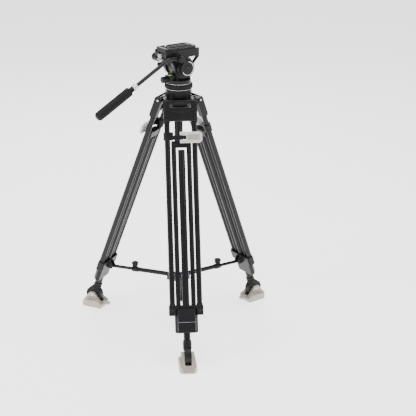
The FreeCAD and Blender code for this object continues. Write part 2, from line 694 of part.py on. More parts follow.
def leg_spreader_knob(name, arm_long):
    """Lobed knob that locks the outer arm on the rod."""
    body = new_body(f"{name}_spreader_knob")
    place = ("0", f"-({arm_long}) + arm_tube_long - 9")
    low = "arm_tube_dia / 2 + knob_boss_tall + slip_gap"
    knob = extrude(body, "XY", low, f"{low} + knob_tall", [(*place, "knob_dia / 2")])
    top = size(f"{low} + knob_tall")
    soften(body, knob, "2.5", lambda edge: abs(middle(edge).z - top) < 0.01)
    for turn_angle in range(0, 360, 60):
        across = f"knob_dia * 0.56 * cos({turn_angle})"
        along = f"knob_dia * 0.56 * sin({turn_angle}) - ({arm_long}) + arm_tube_long - 9"
        extrude(body, "XY", f"{low} + 4", f"{low} + knob_tall + 1", [(across, along, "2.6")], cut=True)
    return body


# ---------------------------------------------------------------- bowl and half ball
# Frame: origin at the ball's centre.
def apex():
    """Bowl with six lugs that carry the hip bolts."""
    rim = "bowl_outer_dia / 2"
    pieces = [
        cylinder("apex_rim", rim, "-10", "0"),
        cone("apex_taper", "wall_under_bowl * 0.8", rim, "-24", "-10"),
        ball("apex_shell", "wall_under_bowl"),
    ]
    for name, azimuth in LEG_AZIMUTHS.items():
        lug_block = block(f"apex_{name}_block", ("-ear_half + 11", "ear_half - 11"),
                          ("ball_dia / 2 - 5", "hip_circle + 6.5"), ("-rim_rise - 12", "0"))
        lugs = [
            block(f"apex_{name}_arm_{side}", (low, high), ("ball_dia / 2 - 10", "hip_circle"),
                  ("-rim_rise - 6.5", "-rim_rise + 1.7"))
            for side, low, high in (("a", "ear_half - 11.5", "ear_half"), ("b", "-ear_half", "-ear_half + 11.5"))
        ]
        knuckles = [
            cylinder(f"apex_{name}_lug_{side}", "7", low, high, ("hip_circle", "-rim_rise"), "X")
            for side, low, high in (("a", "ear_half - 11.5", "ear_half"), ("b", "-ear_half", "-ear_half + 11.5"))
        ]
        together = join(f"apex_{name}_ear", [lug_block, *lugs, *knuckles])
        together.Placement = Placement(Vector(), Rotation(Z_AXIS, azimuth - 90))
        pieces.append(together)
    crown = cut_away("apex_crown", ball("apex_crown_ball", "wall_under_bowl + 1"),
                     cylinder("apex_crown_low", "wall_under_bowl + 2", "-wall_under_bowl - 2", "0"))
    openings = join("apex_openings", [
        crown,
        hip_bolt_set("apex_bolt_holes", "hip_bolt_dia / 2", head=False),
        ball("apex_bowl", "ball_dia / 2 + bearing_gap"),
        cylinder("apex_hole", "bowl_hole_dia / 2", "-wall_under_bowl - 2", "0"),
    ])
    return cut_away("apex", join("apex_blank", pieces), openings)


def hip_bolt_set(label, radius, head=True):
    """Six bolts, two on each hip axis, pointing inward from the cheeks."""
    bolts = []
    for name, azimuth in LEG_AZIMUTHS.items():
        parts = []
        for side, sign in (("a", 1), ("b", -1)):
            ends = ("hip_bolt_inner", "yoke_wide / 2 + slip_gap")
            low, high = ends if sign > 0 else (f"-({ends[1]})", f"-({ends[0]})")
            parts.append(
                cylinder(f"{label}_{name}_{side}", radius, low, high, ("hip_circle", "-rim_rise"), "X"))
            if head:
                ends = ("yoke_wide / 2 + slip_gap", "yoke_wide / 2 + slip_gap + hip_head_thick")
                low, high = ends if sign > 0 else (f"-({ends[1]})", f"-({ends[0]})")
                cap = cylinder(f"{label}_{name}_{side}_head", "hip_head_dia / 2", low, high,
                               ("hip_circle", "-rim_rise"), "X")
                socket_ends = (f"{ends[0]} + 0.6", f"{ends[1]} + 1")
                low, high = socket_ends if sign > 0 else (f"-({socket_ends[1]})", f"-({socket_ends[0]})")
                socket = cylinder(f"{label}_{name}_{side}_socket", "2.5", low, high,
                                  ("hip_circle", "-rim_rise"), "X")
                parts.append(cut_away(f"{label}_{name}_{side}_cap", cap, socket))
        pair = join(f"{label}_{name}", parts)
        pair.Placement = Placement(Vector(), Rotation(Z_AXIS, azimuth - 90))
        bolts.append(pair)
    return join(label, bolts)


def clamp_washer():
    """Spherical washer that the tie-down handle pulls up against the bowl."""
    outside, inside = ball("washer_outside", "washer_outer"), ball("washer_inside", "washer_inner")
    shell = cut_away("washer_shell", outside, inside)
    ring = cut_away(
        "washer_ring",
        cylinder("washer_disc", "washer_dia / 2", "-washer_outer", "0"),
        cylinder("washer_bore", "washer_hole / 2", "-washer_outer - 1", "1"),
    )
    return overlap_of("clamp_washer", shell, ring)


def ball_base():
    """Half ball with the neck, the bearing of the drag ring, the pan spindle and the tie-down stud."""
    half = overlap_of("half_ball", ball("ball", "ball_dia / 2"),
                      cylinder("ball_zone", "ball_dia / 2", "-ball_cut", "0.8"))
    return join("ball_base", [
        half,
        cone("neck", "neck_dia / 2", "neck_top_dia / 2", "0.5", "neck_top - 1.5"),
        cylinder("neck_rim", "neck_top_dia / 2 + 1.2", "neck_top - 1.5", "neck_top"),
        cylinder("ring_bearing", "ring_bore / 2", "neck_top - 1", "ring_high - 1"),
        cylinder("spindle", "spindle_dia / 2", "neck_top - 1", "spindle_top"),
        cylinder("stud", "stud_dia / 2", "-stud_long", "-ball_cut + 1"),
    ])


def tie_down_handle():
    """Handle that screws onto the stud: a concave cup and a waisted grip."""
    blank = join("tie_blank", [
        cylinder("tie_cup", "tie_cup_dia / 2", "-tie_cup_radius - 6", "-tie_cup_radius + 6"),
        cone("tie_waist", "tie_dia / 2", "tie_cup_dia / 2", "-tie_cup_radius - 16", "-tie_cup_radius - 6"),
        cylinder("tie_grip", "tie_dia / 2", "-tie_end + 5", "-tie_cup_radius - 16"),
        cone("tie_tip", "tie_dia / 2 - 4", "tie_dia / 2", "-tie_end", "-tie_end + 5"),
    ])
    hollow = join("tie_hollow", [
        ball("tie_seat", "tie_cup_radius"),
        cylinder("tie_bore", "stud_dia / 2 + bearing_gap", "-stud_long - 2", "0"),
    ])
    return cut_away("tie_down_handle", blank, hollow)


def drag_ring():
    """Ribbed ring around the base that sets the pan drag."""
    body = new_body("drag_ring")
    outer, inner = "ring_dia / 2", "ring_bore / 2 + bearing_gap"
    turn(body, [(inner, "ring_low"), (f"{outer} - 2.5", "ring_low"), (outer, "ring_low + 3"),
                (outer, "ring_high - 1.5"), (f"{outer} - 1.5", "ring_high"), (inner, "ring_high")])
    return body


# ---------------------------------------------------------------- pan and tilt head
def tilt_housing():
    """Body that pans on the spindle and carries the tilt drum between the cradle's side plates."""
    body = new_body("tilt_housing")
    flange = "flange_dia / 2"
    turn(body, [("0", "housing_low"), (f"{flange} + 1", "housing_low"), (f"{flange} + 1", "housing_low + 2"),
                (flange, "housing_low + 2.5"), (flange, "flange_top - 1.5"), (f"{flange} - 1.5", "flange_top"),
                ("0", "flange_top")])
    side = [
        ("-19", "flange_top - 1"),
        ("27", "flange_top - 1"),
        ("drum_dia / 2", "tilt_height"),
        ("-drum_dia / 2", "tilt_height"),
        ("-20", "tilt_height - 14"),
    ]
    extrude(body, "YZ", "-body_wide / 2", "body_wide / 2", [side])
    extrude(body, "YZ", "-drum_end", "drum_end", [("0", "tilt_height", "drum_dia / 2")])
    extrude(body, "XY", "flange_top - 1", "flange_top + 11", [box(("-13", "13"), ("-37", "-20"))])
    extrude(body, "XY", "housing_low - 1", "spindle_top + 1",
            [("0", "0", "spindle_dia / 2 + bearing_gap")], cut=True)
    extrude(body, "XZ", "-38", "-28", [("0", "flange_top + 2", "pan_knob_shaft / 2 + bearing_gap")], cut=True)
    return body


def pan_lock_knob():
    """Knob behind the housing that locks the pan."""
    body = new_body("pan_lock_knob")
    height = "flange_top + 2"
    extrude(body, "XZ", "-44", "-29", [("0", height, "pan_knob_shaft / 2")])
    knob = extrude(body, "XZ", "-56", "-38", [("0", height, "pan_knob_dia / 2")])
    soften(body, knob, "2", lambda edge: middle(edge).y < -55.9)
    return body


def bubble_level():
    """Round level set into the ledge behind the housing."""
    body = new_body("bubble_level")
    extrude(body, "XY", "flange_top + 11", "flange_top + 15", [("0", "-28.5", "7.5")])
    return body


# From here on the frame's origin is on the tilt axis.
def cradle():
    """Two hooped side plates under a deck with the dovetail channel of the camera plate."""
    body = new_body("cradle")
    side = [
        ("-deck_rear", "deck_low + 4"),
        ("-deck_rear", "deck_low - 13"),
        ("-deck_rear + 8", "deck_low - 17"),
        ("-deck_rear + 18", "deck_low - 14"),
        ("-hoop_dia / 2 + 2", "-4"),
        ("-hoop_dia / 2 + 2", "-12"),
        ("-10", "-20"),
        ("20", "-14"),
        ("hoop_dia / 2 - 1", "0"),
        ("hoop_dia / 2 + 2", "8"),
        ("deck_front", "deck_low - 6"),
        ("deck_front", "deck_low + 4"),
    ]
    front_window = [("hoop_dia / 2", "11"), ("deck_front - 6", "deck_low - 4"), ("13", "deck_low - 4")]
    rear_window = [("-deck_rear + 21", "deck_low - 6"), ("-deck_rear + 26", "deck_low - 17"),
                   ("-hoop_dia / 2 + 3", "6"), ("-20", "deck_low - 6")]
    for low, high in (("plate_inner", "plate_outer"), ("-plate_outer", "-plate_inner")):
        extrude(body, "YZ", low, high, [side])
        if low != "plate_inner":
            deck_outline = box(("-plate_outer", "plate_outer"), ("-deck_rear", "deck_front"))
            extrude(body, "XY", "deck_low", "rail_high", [deck_outline])
    extrude(body, "YZ", "-plate_outer - 1", "plate_outer + 1", [front_window], cut=True)
    extrude(body, "YZ", "-plate_outer - 1", "plate_outer + 1", [rear_window], cut=True)
    for low, high in (("plate_inner", "plate_outer"), ("-plate_outer", "-plate_inner")):
        extrude(body, "YZ", low, high, [("0", "0", "hoop_dia / 2")])
        extrude(body, "YZ", low, high, [("-deck_rear + 9", "deck_low - 6", "plate_boss_dia / 2")])
    extrude(body, "YZ", "plate_outer - 1", "plate_outer + rosette_thick",
            [("-rosette_back", "rosette_up", "rosette_dia / 2")])
    extrude(body, "YZ", "-plate_outer - 1", "plate_outer + 1",
            [("0", "0", "drum_dia / 2 + bearing_gap")], cut=True)
    extrude(body, "YZ", "plate_outer - rosette_pin_long", "plate_outer + rosette_thick + 1",
            [("-rosette_back", "rosette_up", "rosette_pin_dia / 2 + bearing_gap")], cut=True)
    channel = [
        ("-channel_wide / 2", "deck_high"),
        ("channel_wide / 2", "deck_high"),
        ("channel_wide / 2", "deck_high + 1.5"),
        ("channel_mouth / 2", "rail_high"),
        ("channel_mouth / 2", "rail_high + 1"),
        ("-channel_mouth / 2", "rail_high + 1"),
        ("-channel_mouth / 2", "rail_high"),
        ("-channel_wide / 2", "deck_high + 1.5"),
    ]
    extrude(body, "XZ", "-deck_rear - 1", "deck_front + 1", [channel], cut=True)
    extrude(body, "YZ", "-plate_outer - 1", "-plate_inner + 1",
            [("-deck_rear + 9", "deck_low - 6", "plate_knob_shaft / 2 + bearing_gap")], cut=True)
    extrude(body, "XY", "deck_low - 1", "deck_high + 1",
            [box(("-8 - slip_gap", "8 + slip_gap"), ("-deck_rear - 1", "-deck_rear + 14"))], cut=True)
    return body


def camera_plate():
    """Sliding plate with dovetail flanks, a long slot and a ridged face."""
    body = new_body("camera_plate")
    foot_low, foot_high = "deck_high + slip_gap / 2", "rail_high + slip_gap"
    flank = [
        ("-channel_wide / 2 + slip_gap", foot_low),
        ("channel_wide / 2 - slip_gap", foot_low),
        ("channel_wide / 2 - slip_gap", "deck_high + 1.3"),
        ("channel_mouth / 2 - slip_gap", "rail_high - 0.2"),
        ("channel_mouth / 2 - slip_gap", foot_high),
        ("-channel_mouth / 2 + slip_gap", foot_high),
        ("-channel_mouth / 2 + slip_gap", "rail_high - 0.2"),
        ("-channel_wide / 2 + slip_gap", "deck_high + 1.3"),
    ]
    ends = ("-camera_plate_rear", "camera_plate_front")
    extrude(body, "XZ", *ends, [flank])
    slab = extrude(body, "XY", foot_high, "camera_plate_top",
                   [box(("-camera_plate_wide / 2", "camera_plate_wide / 2"), ends)])
    top = size("camera_plate_top")
    soften(body, slab, "5", lambda edge: runs_along(edge, Z_AXIS) and middle(edge).z > size(foot_high))
    slot = ("-camera_slot_wide / 2", "camera_slot_wide / 2")
    extrude(body, "XY", "deck_high - 1", "camera_plate_top + 1",
            [box(slot, ("-camera_plate_rear + 7", "camera_plate_front - 14"))], cut=True)
    extrude(body, "XY", "deck_high - 1", "camera_plate_top - 4",
            [box(("-screw_head_dia / 2 - 1", "screw_head_dia / 2 + 1"),
                 ("-camera_plate_rear + 5", "camera_plate_front - 12"))], cut=True)
    return body


def camera_screw():
    """Camera screw with a slotted head under the plate."""
    body = new_body("camera_screw")
    place = ("0", "-camera_screw_back")
    head_high = "camera_plate_top - 4 - slip_gap"
    extrude(body, "XY", f"{head_high} - 3", head_high, [(*place, "screw_head_dia / 2")])
    extrude(body, "XY", f"{head_high} - 1", "camera_plate_top + 1", [(*place, "camera_screw_dia / 2 - 0.5")])
    extrude(body, "XY", "camera_plate_top", "camera_plate_top + camera_screw_rise",
            [(*place, "camera_screw_dia / 2")])
    extrude(body, "XY", f"{head_high} - 4", f"{head_high} - 2",
            [box(("-screw_head_dia", "screw_head_dia"),
                 ("-camera_screw_back - 0.8", "-camera_screw_back + 0.8"))],
            cut=True)
    return body


def counterbalance_dial():
    """Stepped dial on the right end of the tilt drum."""
    body = new_body("counterbalance_dial")
    low = "drum_end + slip_gap"
    dial = extrude(body, "YZ", low, f"{low} + dial_thick", [("0", "0", "dial_dia / 2")])
    outer = size(f"{low} + dial_thick")
    soften(body, dial, "1.2", lambda edge: abs(middle(edge).x - outer) < 0.01)
    return body


def tilt_lock_lever():
    """Lever on the left end of the tilt drum."""
    body = new_body("tilt_lock_lever")
    low, high = "-drum_end - slip_gap - 8", "-drum_end - slip_gap"
    extrude(body, "YZ", low, high, [("0", "0", "11")])
    arm = extrude(body, "YZ", low, f"{low} + 6", [box(("-40", "0"), ("-5", "5"))])
    soften(body, arm, "4", lambda edge: runs_along(edge, X_AXIS) and middle(edge).y < -39)
    return body


def plate_lock_knob():
    """Knob on the left of the deck that clamps the camera plate."""
    body = new_body("plate_lock_knob")
    place = ("-deck_rear + 9", "deck_low - 6")
    extrude(body, "YZ", "-plate_outer - 2", "-plate_inner + 0.6", [(*place, "plate_knob_shaft / 2")])
    knob = extrude(body, "YZ", "-plate_outer - 15", "-plate_outer - slip_gap",
                   [(*place, "plate_boss_dia / 2")])
    outer = size("-plate_outer - 15")
    soften(body, knob, "2.5", lambda edge: abs(middle(edge).x - outer) < 0.01)
    return body


def plate_release():
    """Sprung catch at the rear of the deck that lets the camera plate out."""
    body = new_body("plate_release")
    extrude(body, "XY", "deck_low - 5", "deck_high - 4",
            [box(("-8", "8"), ("-deck_rear - 3", "-deck_rear + 10"))])
    lever = extrude(body, "XY", "deck_low - 8", "deck_low - 4.5",
                    [box(("-8", "14"), ("-deck_rear - 6", "-deck_rear + 6"))])
    soften(body, lever, "2.5", lambda edge: runs_along(edge, Z_AXIS) and middle(edge).x > 13)
    return body


# ---------------------------------------------------------------- pan handle
# The rod's own frame: origin at the rosette, Y forward, Z up, X to the right.
def rod_point(distance):
    """A point of the sloping part of the rod, at a distance from the bend."""
    slope = math.radians(size("handle_slope"))
    back = size("handle_bend_back") - size("rosette_back")
    return Vector(0, -back - distance * math.cos(slope), -distance * math.sin(slope))


def handle_rod():
    """Bent rod with a flat clamp eye on the rosette; its sweep follows a line, an arc and a line."""
    slope = math.radians(size("handle_slope"))
    radius = size("handle_bend_radius")
    setback = radius * math.tan(slope / 2)
    start = Vector(0, 0, 0)
    corner = rod_point(0)
    before = corner + Vector(0, setback, 0)
    after = rod_point(setback)
    centre = before + Vector(0, 0, -radius)
    half = slope / 2
    top = centre + Vector(0, -radius * math.sin(half), radius * math.cos(half))
    path = Part.Wire([
        Part.LineSegment(start, before).toShape(),
        Part.Arc(before, top, after).toShape(),
        Part.LineSegment(after, rod_point(size("handle_rod_long"))).toShape(),
    ])
    section = Part.Wire(Part.Circle(start, Y_AXIS, size("handle_dia / 2")).toShape())
    rod = path.makePipeShell([section], True, False)
    inner = size("-handle_clear + rosette_thick + slip_gap")
    outer = size("clamp_outer")
    eye = Part.makeCylinder(size("rosette_dia / 2"), outer - inner, Vector(inner, 0, 0), X_AXIS)
    pin = Part.makeCylinder(size("rosette_pin_dia / 2"), size("rosette_pin_long"),
                            Vector(inner - size("rosette_pin_long"), 0, 0), X_AXIS)
    feature = doc.addObject("Part::Feature", "handle_rod")
    feature.Label = "handle_rod"
    feature.Shape = rod.fuse([eye, pin]).removeSplitter()
    return feature


def handle_collar():
    """Threaded collar that clamps the telescoping grip."""
    blank = join("collar_blank", [
        cylinder("collar_body", "collar_dia / 2", "collar_from", "collar_from + collar_long"),
        cylinder("collar_nose", "collar_dia / 2 - 2", "collar_from - 3", "collar_from + collar_long + 2"),
    ])
    bore = cylinder("collar_bore", "handle_dia / 2 + bearing_gap",
                    "collar_from - 5", "collar_from + collar_long + 4")
    return cut_away("handle_collar", blank, bore)


def handle_grip():
    """Grip tube with a narrow neck; it slides on the rod."""
    blank = join("grip_blank", [
        cylinder("grip_neck", "collar_dia / 2 - 1", "collar_from + collar_long + 2.5", "grip_from + 1"),
        cone("grip_shoulder", "grip_dia / 2 - 3", "grip_dia / 2", "grip_from", "grip_from + 6"),
        cylinder("grip_body", "grip_dia / 2", "grip_from + 6", "grip_from + grip_long - 5"),
        cone("grip_end", "grip_dia / 2", "grip_dia / 2 - 5",
             "grip_from + grip_long - 5", "grip_from + grip_long"),
    ])
    bore = cylinder("grip_bore", "handle_dia / 2 + bearing_gap", "collar_from", "handle_rod_long + 2")
    return cut_away("handle_grip", blank, bore)


def handle_clamp_knob():
    """Lobed knob that clamps the handle on its rosette."""
    body = new_body("handle_clamp_knob")
    low = "clamp_outer + slip_gap"
    extrude(body, "YZ", low, f"{low} + 4", [("0", "0", "6")])
    knob = extrude(body, "YZ", f"{low} + 3.5", f"{low} + 13", [("0", "0", "9.5")])
    outer = size(f"{low} + 13")
    soften(body, knob, "2", lambda edge: abs(middle(edge).x - outer) < 0.01)
    for turn_angle in range(0, 360, 72):
        across, along = f"10.5 * cos({turn_angle})", f"10.5 * sin({turn_angle})"
        extrude(body, "YZ", f"{low} + 6", f"{low} + 14", [(across, along, "3")], cut=True)
    return body


# ---------------------------------------------------------------- spreader hub
# Frame: origin on the tripod axis at the height of the arm pins.
def spreader_hub():
    """Flat star: a core below the arm eyes and a fork for each arm, open above, below and outward."""
    parts = [cylinder("hub_core", "hub_core_dia / 2", "-hub_drop - hub_tall", "-hub_drop")]
    near, far = "arm_tube_dia / 2 + slip_gap", "arm_tube_dia / 2 + slip_gap + hub_ear_thick"
    for name, azimuth in LEG_AZIMUTHS.items():
        ears = [
            block(f"hub_{name}_ear_{side}", span, ("hub_core_dia / 4", "hub_circle + 5"),
                  ("-hub_drop - hub_tall", "spread_pin_dia"))
            for side, span in (("a", (near, far)), ("b", (f"-({far})", f"-({near})")))
        ]
        fork = join(f"hub_{name}_fork", ears)
        fork.Placement = Placement(Vector(), Rotation(Z_AXIS, azimuth - 90))
        parts.append(fork)
    return join("spreader_hub", parts)


# ---------------------------------------------------------------- placing
def leg_place(azimuth):
    """Frame of a spread leg: origin on the hip pin, Y outward, Z up along the leg."""
    turned = Rotation(Z_AXIS, azimuth - 90)
    hip = turned.multVec(Vector(0, size("hip_circle"), 0)) + Vector(0, 0, size("hip_height"))
    return Placement(hip, turned * Rotation(X_AXIS, size("lean_angle")))


def foot_place(azimuth):
    """Frame of a foot that stands flat: origin on the ankle pin, Y outward, Z up."""
    ankle = leg_place(azimuth).multVec(Vector(0, 0, -size("leg_reach")))
    return Placement(ankle, Rotation(Z_AXIS, azimuth - 90))


def arm_ends(azimuth):
    """The leg pin and the hub pin of one spreader arm."""
    turned = Rotation(Z_AXIS, azimuth - 90)
    leg_pin = leg_place(azimuth).multVec(Vector(0, -size("spread_pin_back"), -size("spread_station")))
    hub_pin = turned.multVec(Vector(0, size("hub_circle"), 0)) + Vector(0, 0, size("hub_height"))
    return leg_pin, hub_pin


def arm_place(azimuth):
    """Frame of a spreader arm: origin on the leg pin, Y outward along the arm."""
    leg_pin, hub_pin = arm_ends(azimuth)
    reach = leg_pin - hub_pin
    level = math.hypot(reach.x, reach.y)
    slope = math.degrees(math.atan2(reach.z, level))
    return Placement(leg_pin, Rotation(Z_AXIS, azimuth - 90) * Rotation(X_AXIS, slope))


def rod_place():
    """Frame of the pan handle: origin on the rosette, in line with the rod."""
    return Placement(
        Vector(size("handle_side"), -size("rosette_back"), size("tilt_axis_height + rosette_up")), Rotation())


def grip_place():
    """Frame of the collar and grip: origin at the rod's bend, Z along its sloping part."""
    down = Rotation(X_AXIS, 90 + size("handle_slope"))
    return Placement(rod_place().multVec(rod_point(0)), down)


# The length of a spreader arm between its two pins, as an expression.
LEG_PIN_OUT = (
    "hip_circle + spread_station * sin(lean_angle)"
    " - spread_pin_back * cos(lean_angle) - hub_circle"
)
LEG_PIN_UP = "hip_height - spread_station * cos(lean_angle) - spread_pin_back * sin(lean_angle) - hub_height"
ARM_LONG = f"sqrt(({LEG_PIN_OUT})^2 + ({LEG_PIN_UP})^2)"

model = []


def place(item, placement):
    """Puts a finished sub-part in its place and lists it for export."""
    item.Placement = placement
    model.append(item)


for leg, azimuth in LEG_AZIMUTHS.items():
    on_leg, on_foot, on_arm = leg_place(azimuth), foot_place(azimuth), arm_place(azimuth)
    place(leg_yoke(leg), on_leg)
    place(leg_tube_pair(f"{leg}_outer_tubes", "outer_tube_dia", "tube_half", "tube_top", "tube_end"), on_leg)
    place(leg_lock_clamp(leg), on_leg)
    place(leg_lock_lever(leg), on_leg)
    place(leg_lower_bracket(leg), on_leg)
    place(leg_mid_castings(leg), on_leg)
    place(leg_tube_pair(f"{leg}_mid_tubes", "mid_tube_dia", "mid_half", "mid_top + 4", "mid_tube_end"), on_leg)
    lower = leg_tube(f"{leg}_lower", "lower_tube_dia", ("0", "0"), "lower_top", "lower_end")
    place(lower, on_leg)
    place(leg_ankle(leg), on_leg)
    place(leg_foot_pad(leg), on_foot)
    place(leg_spreader_rod(leg, ARM_LONG), on_arm)
    place(leg_spreader_tube(leg, ARM_LONG), on_arm)
    place(leg_spreader_knob(leg, ARM_LONG), on_arm)

at_ball = Placement(Vector(0, 0, size("ball_height")), Rotation())
for build in (apex, clamp_washer, ball_base, tie_down_handle, drag_ring, tilt_housing, pan_lock_knob,
              bubble_level):
    place(build(), at_ball)
place(hip_bolt_set("hip_bolts", "hip_bolt_dia / 2"), at_ball)

at_tilt = Placement(Vector(0, 0, size("tilt_axis_height")), Rotation())
for build in (cradle, camera_plate, camera_screw, counterbalance_dial, tilt_lock_lever, plate_lock_knob,
              plate_release):
    place(build(), at_tilt)

place(handle_rod(), rod_place())
place(handle_clamp_knob(), rod_place())
place(handle_collar(), grip_place())
place(handle_grip(), grip_place())
place(spreader_hub(), Placement(Vector(0, 0, size("hub_height")), Rotation()))

# ---------------------------------------------------------------- check and export
doc.recompute()
for item in doc.Objects:
    if {"Invalid", "Error"} & set(item.State):
        raise RuntimeError(f"{item.Label} is {item.State}")
for item in model:
    if item.Shape.isNull() or not item.Shape.isValid():
        raise RuntimeError(f"{item.Label} has no valid shape")

# The origin is the middle of the whole outline, on the floor.
whole = Part.makeCompound([item.Shape for item in model]).BoundBox
ORIGIN = Vector(whole.Center.x, whole.Center.y, whole.ZMin)
for item in model:
    item.Placement = Placement(-ORIGIN, Rotation()) * item.Placement
doc.recompute()

os.makedirs("parts", exist_ok=True)
for item in model:
    item.Shape.exportStep(f"parts/{item.Label}.step")
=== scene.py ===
import bpy
import json
import math
from mathutils import Matrix, Vector


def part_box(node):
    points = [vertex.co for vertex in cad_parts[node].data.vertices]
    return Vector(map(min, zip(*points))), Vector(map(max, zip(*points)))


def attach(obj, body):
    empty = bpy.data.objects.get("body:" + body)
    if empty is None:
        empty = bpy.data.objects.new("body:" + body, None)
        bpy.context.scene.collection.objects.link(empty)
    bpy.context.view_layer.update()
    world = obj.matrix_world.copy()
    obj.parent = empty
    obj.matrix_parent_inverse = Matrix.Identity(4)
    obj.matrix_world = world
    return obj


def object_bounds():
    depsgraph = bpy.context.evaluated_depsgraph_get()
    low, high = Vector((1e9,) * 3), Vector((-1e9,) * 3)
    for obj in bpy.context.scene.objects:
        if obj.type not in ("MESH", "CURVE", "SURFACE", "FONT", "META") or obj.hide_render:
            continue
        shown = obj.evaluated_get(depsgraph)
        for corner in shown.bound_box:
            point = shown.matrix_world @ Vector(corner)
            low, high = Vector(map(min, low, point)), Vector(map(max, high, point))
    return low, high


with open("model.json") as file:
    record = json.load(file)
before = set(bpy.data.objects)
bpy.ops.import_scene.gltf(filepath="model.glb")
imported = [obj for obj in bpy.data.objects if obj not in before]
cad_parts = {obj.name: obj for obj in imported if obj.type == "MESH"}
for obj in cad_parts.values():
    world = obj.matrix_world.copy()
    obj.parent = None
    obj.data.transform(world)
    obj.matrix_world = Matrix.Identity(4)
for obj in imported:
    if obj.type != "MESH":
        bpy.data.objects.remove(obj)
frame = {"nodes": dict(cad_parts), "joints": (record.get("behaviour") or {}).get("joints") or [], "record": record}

CAD_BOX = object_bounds()
MM = 0.001
NEAR = 0.01 * MM
NEAR_PIN = 12 * MM
# A base colour darker than DARK gets the dull specular. Wear shows on an edge as the cosine between
# its rounded and its flat normal falls from the first of the two WEAR values to the second.
DARK, FULL_SPECULAR, DULL_SPECULAR = 0.02, 0.5, 0.2
WEAR_STARTS, WEAR_FULL = 0.985, 0.86
BROAD_GRAIN, RELIEF, SOFT_EDGE = 38.0, 0.4 * MM, 0.7 * MM
LEGS = ("front_leg", "right_leg", "left_leg")
JOINTS = {j["name"]: j for j in frame["joints"]}
X, Y, Z = Vector((1, 0, 0)), Vector((0, 1, 0)), Vector((0, 0, 1))


def joint_pos(name):
    """Where a joint is, in metres."""
    return Vector(JOINTS[name]["pos_m"])


def joint_axis(name):
    """A joint's axis as a unit vector."""
    return Vector(JOINTS[name]["axis"]).normalized()


# ---------------------------------------------------------------- materials

def material(name, colour, second, rough, metallic=0.0, grain=900.0, bump=0.08, wear=None,
             stretch=(1, 1, 1), coat=0.0):
    """A principled surface whose colour, gloss and relief vary; wear is the colour of rubbed edges."""
    m = bpy.data.materials.new(name)
    m.use_nodes = True
    tree = m.node_tree
    new, link = tree.nodes.new, tree.links.new
    bsdf = tree.nodes["Principled BSDF"]
    bsdf.inputs["Metallic"].default_value = metallic
    bsdf.inputs["Coat Weight"].default_value = coat
    bsdf.inputs["Specular IOR Level"].default_value = (
        DULL_SPECULAR if max(colour) < DARK else FULL_SPECULAR)
    place = new("ShaderNodeTexCoord")
    scale = new("ShaderNodeMapping")
    scale.inputs["Scale"].default_value = stretch
    link(place.outputs["Object"], scale.inputs["Vector"])
    broad, fine = new("ShaderNodeTexNoise"), new("ShaderNodeTexNoise")
    broad.inputs["Scale"].default_value = BROAD_GRAIN
    broad.inputs["Detail"].default_value = 4.0
    fine.inputs["Scale"].default_value = grain
    fine.inputs["Detail"].default_value = 3.0
    for n in (broad, fine):
        link(scale.outputs["Vector"], n.inputs["Vector"])
    tint = new("ShaderNodeMix")
    tint.data_type = "RGBA"
    tint.inputs["A"].default_value = (*colour, 1)
    tint.inputs["B"].default_value = (*second, 1)
    link(broad.outputs["Fac"], tint.inputs["Factor"])
    surface = tint.outputs["Result"]
    shape = new("ShaderNodeBump")
    shape.inputs["Strength"].default_value = bump
    shape.inputs["Distance"].default_value = RELIEF
    link(fine.outputs["Fac"], shape.inputs["Height"])
    soft = new("ShaderNodeBevel")
    soft.samples = 4
    soft.inputs["Radius"].default_value = SOFT_EDGE
    link(soft.outputs["Normal"], shape.inputs["Normal"])
    if wear:
        flat = new("ShaderNodeNewGeometry")
        dot = new("ShaderNodeVectorMath")
        dot.operation = "DOT_PRODUCT"
        link(flat.outputs["Normal"], dot.inputs[0])
        link(soft.outputs["Normal"], dot.inputs[1])
        edge = new("ShaderNodeMapRange")
        edge.inputs["From Min"].default_value = WEAR_STARTS
        edge.inputs["From Max"].default_value = WEAR_FULL
        link(dot.outputs["Value"], edge.inputs["Value"])
        patchy = new("ShaderNodeMath")
        patchy.operation = "MULTIPLY"
        link(edge.outputs["Result"], patchy.inputs[0])
        link(broad.outputs["Fac"], patchy.inputs[1])
        worn = new("ShaderNodeMix")
        worn.data_type = "RGBA"
        worn.inputs["B"].default_value = (*wear, 1)
        link(patchy.outputs["Value"], worn.inputs["Factor"])
        link(surface, worn.inputs["A"])
        surface = worn.outputs["Result"]
    link(surface, bsdf.inputs["Base Color"])
    gloss = new("ShaderNodeMapRange")
    gloss.inputs["To Min"].default_value = rough[0]
    gloss.inputs["To Max"].default_value = rough[1]
    link(fine.outputs["Fac"], gloss.inputs["Value"])
    link(gloss.outputs["Result"], bsdf.inputs["Roughness"])
    link(shape.outputs["Normal"], bsdf.inputs["Normal"])
    return m


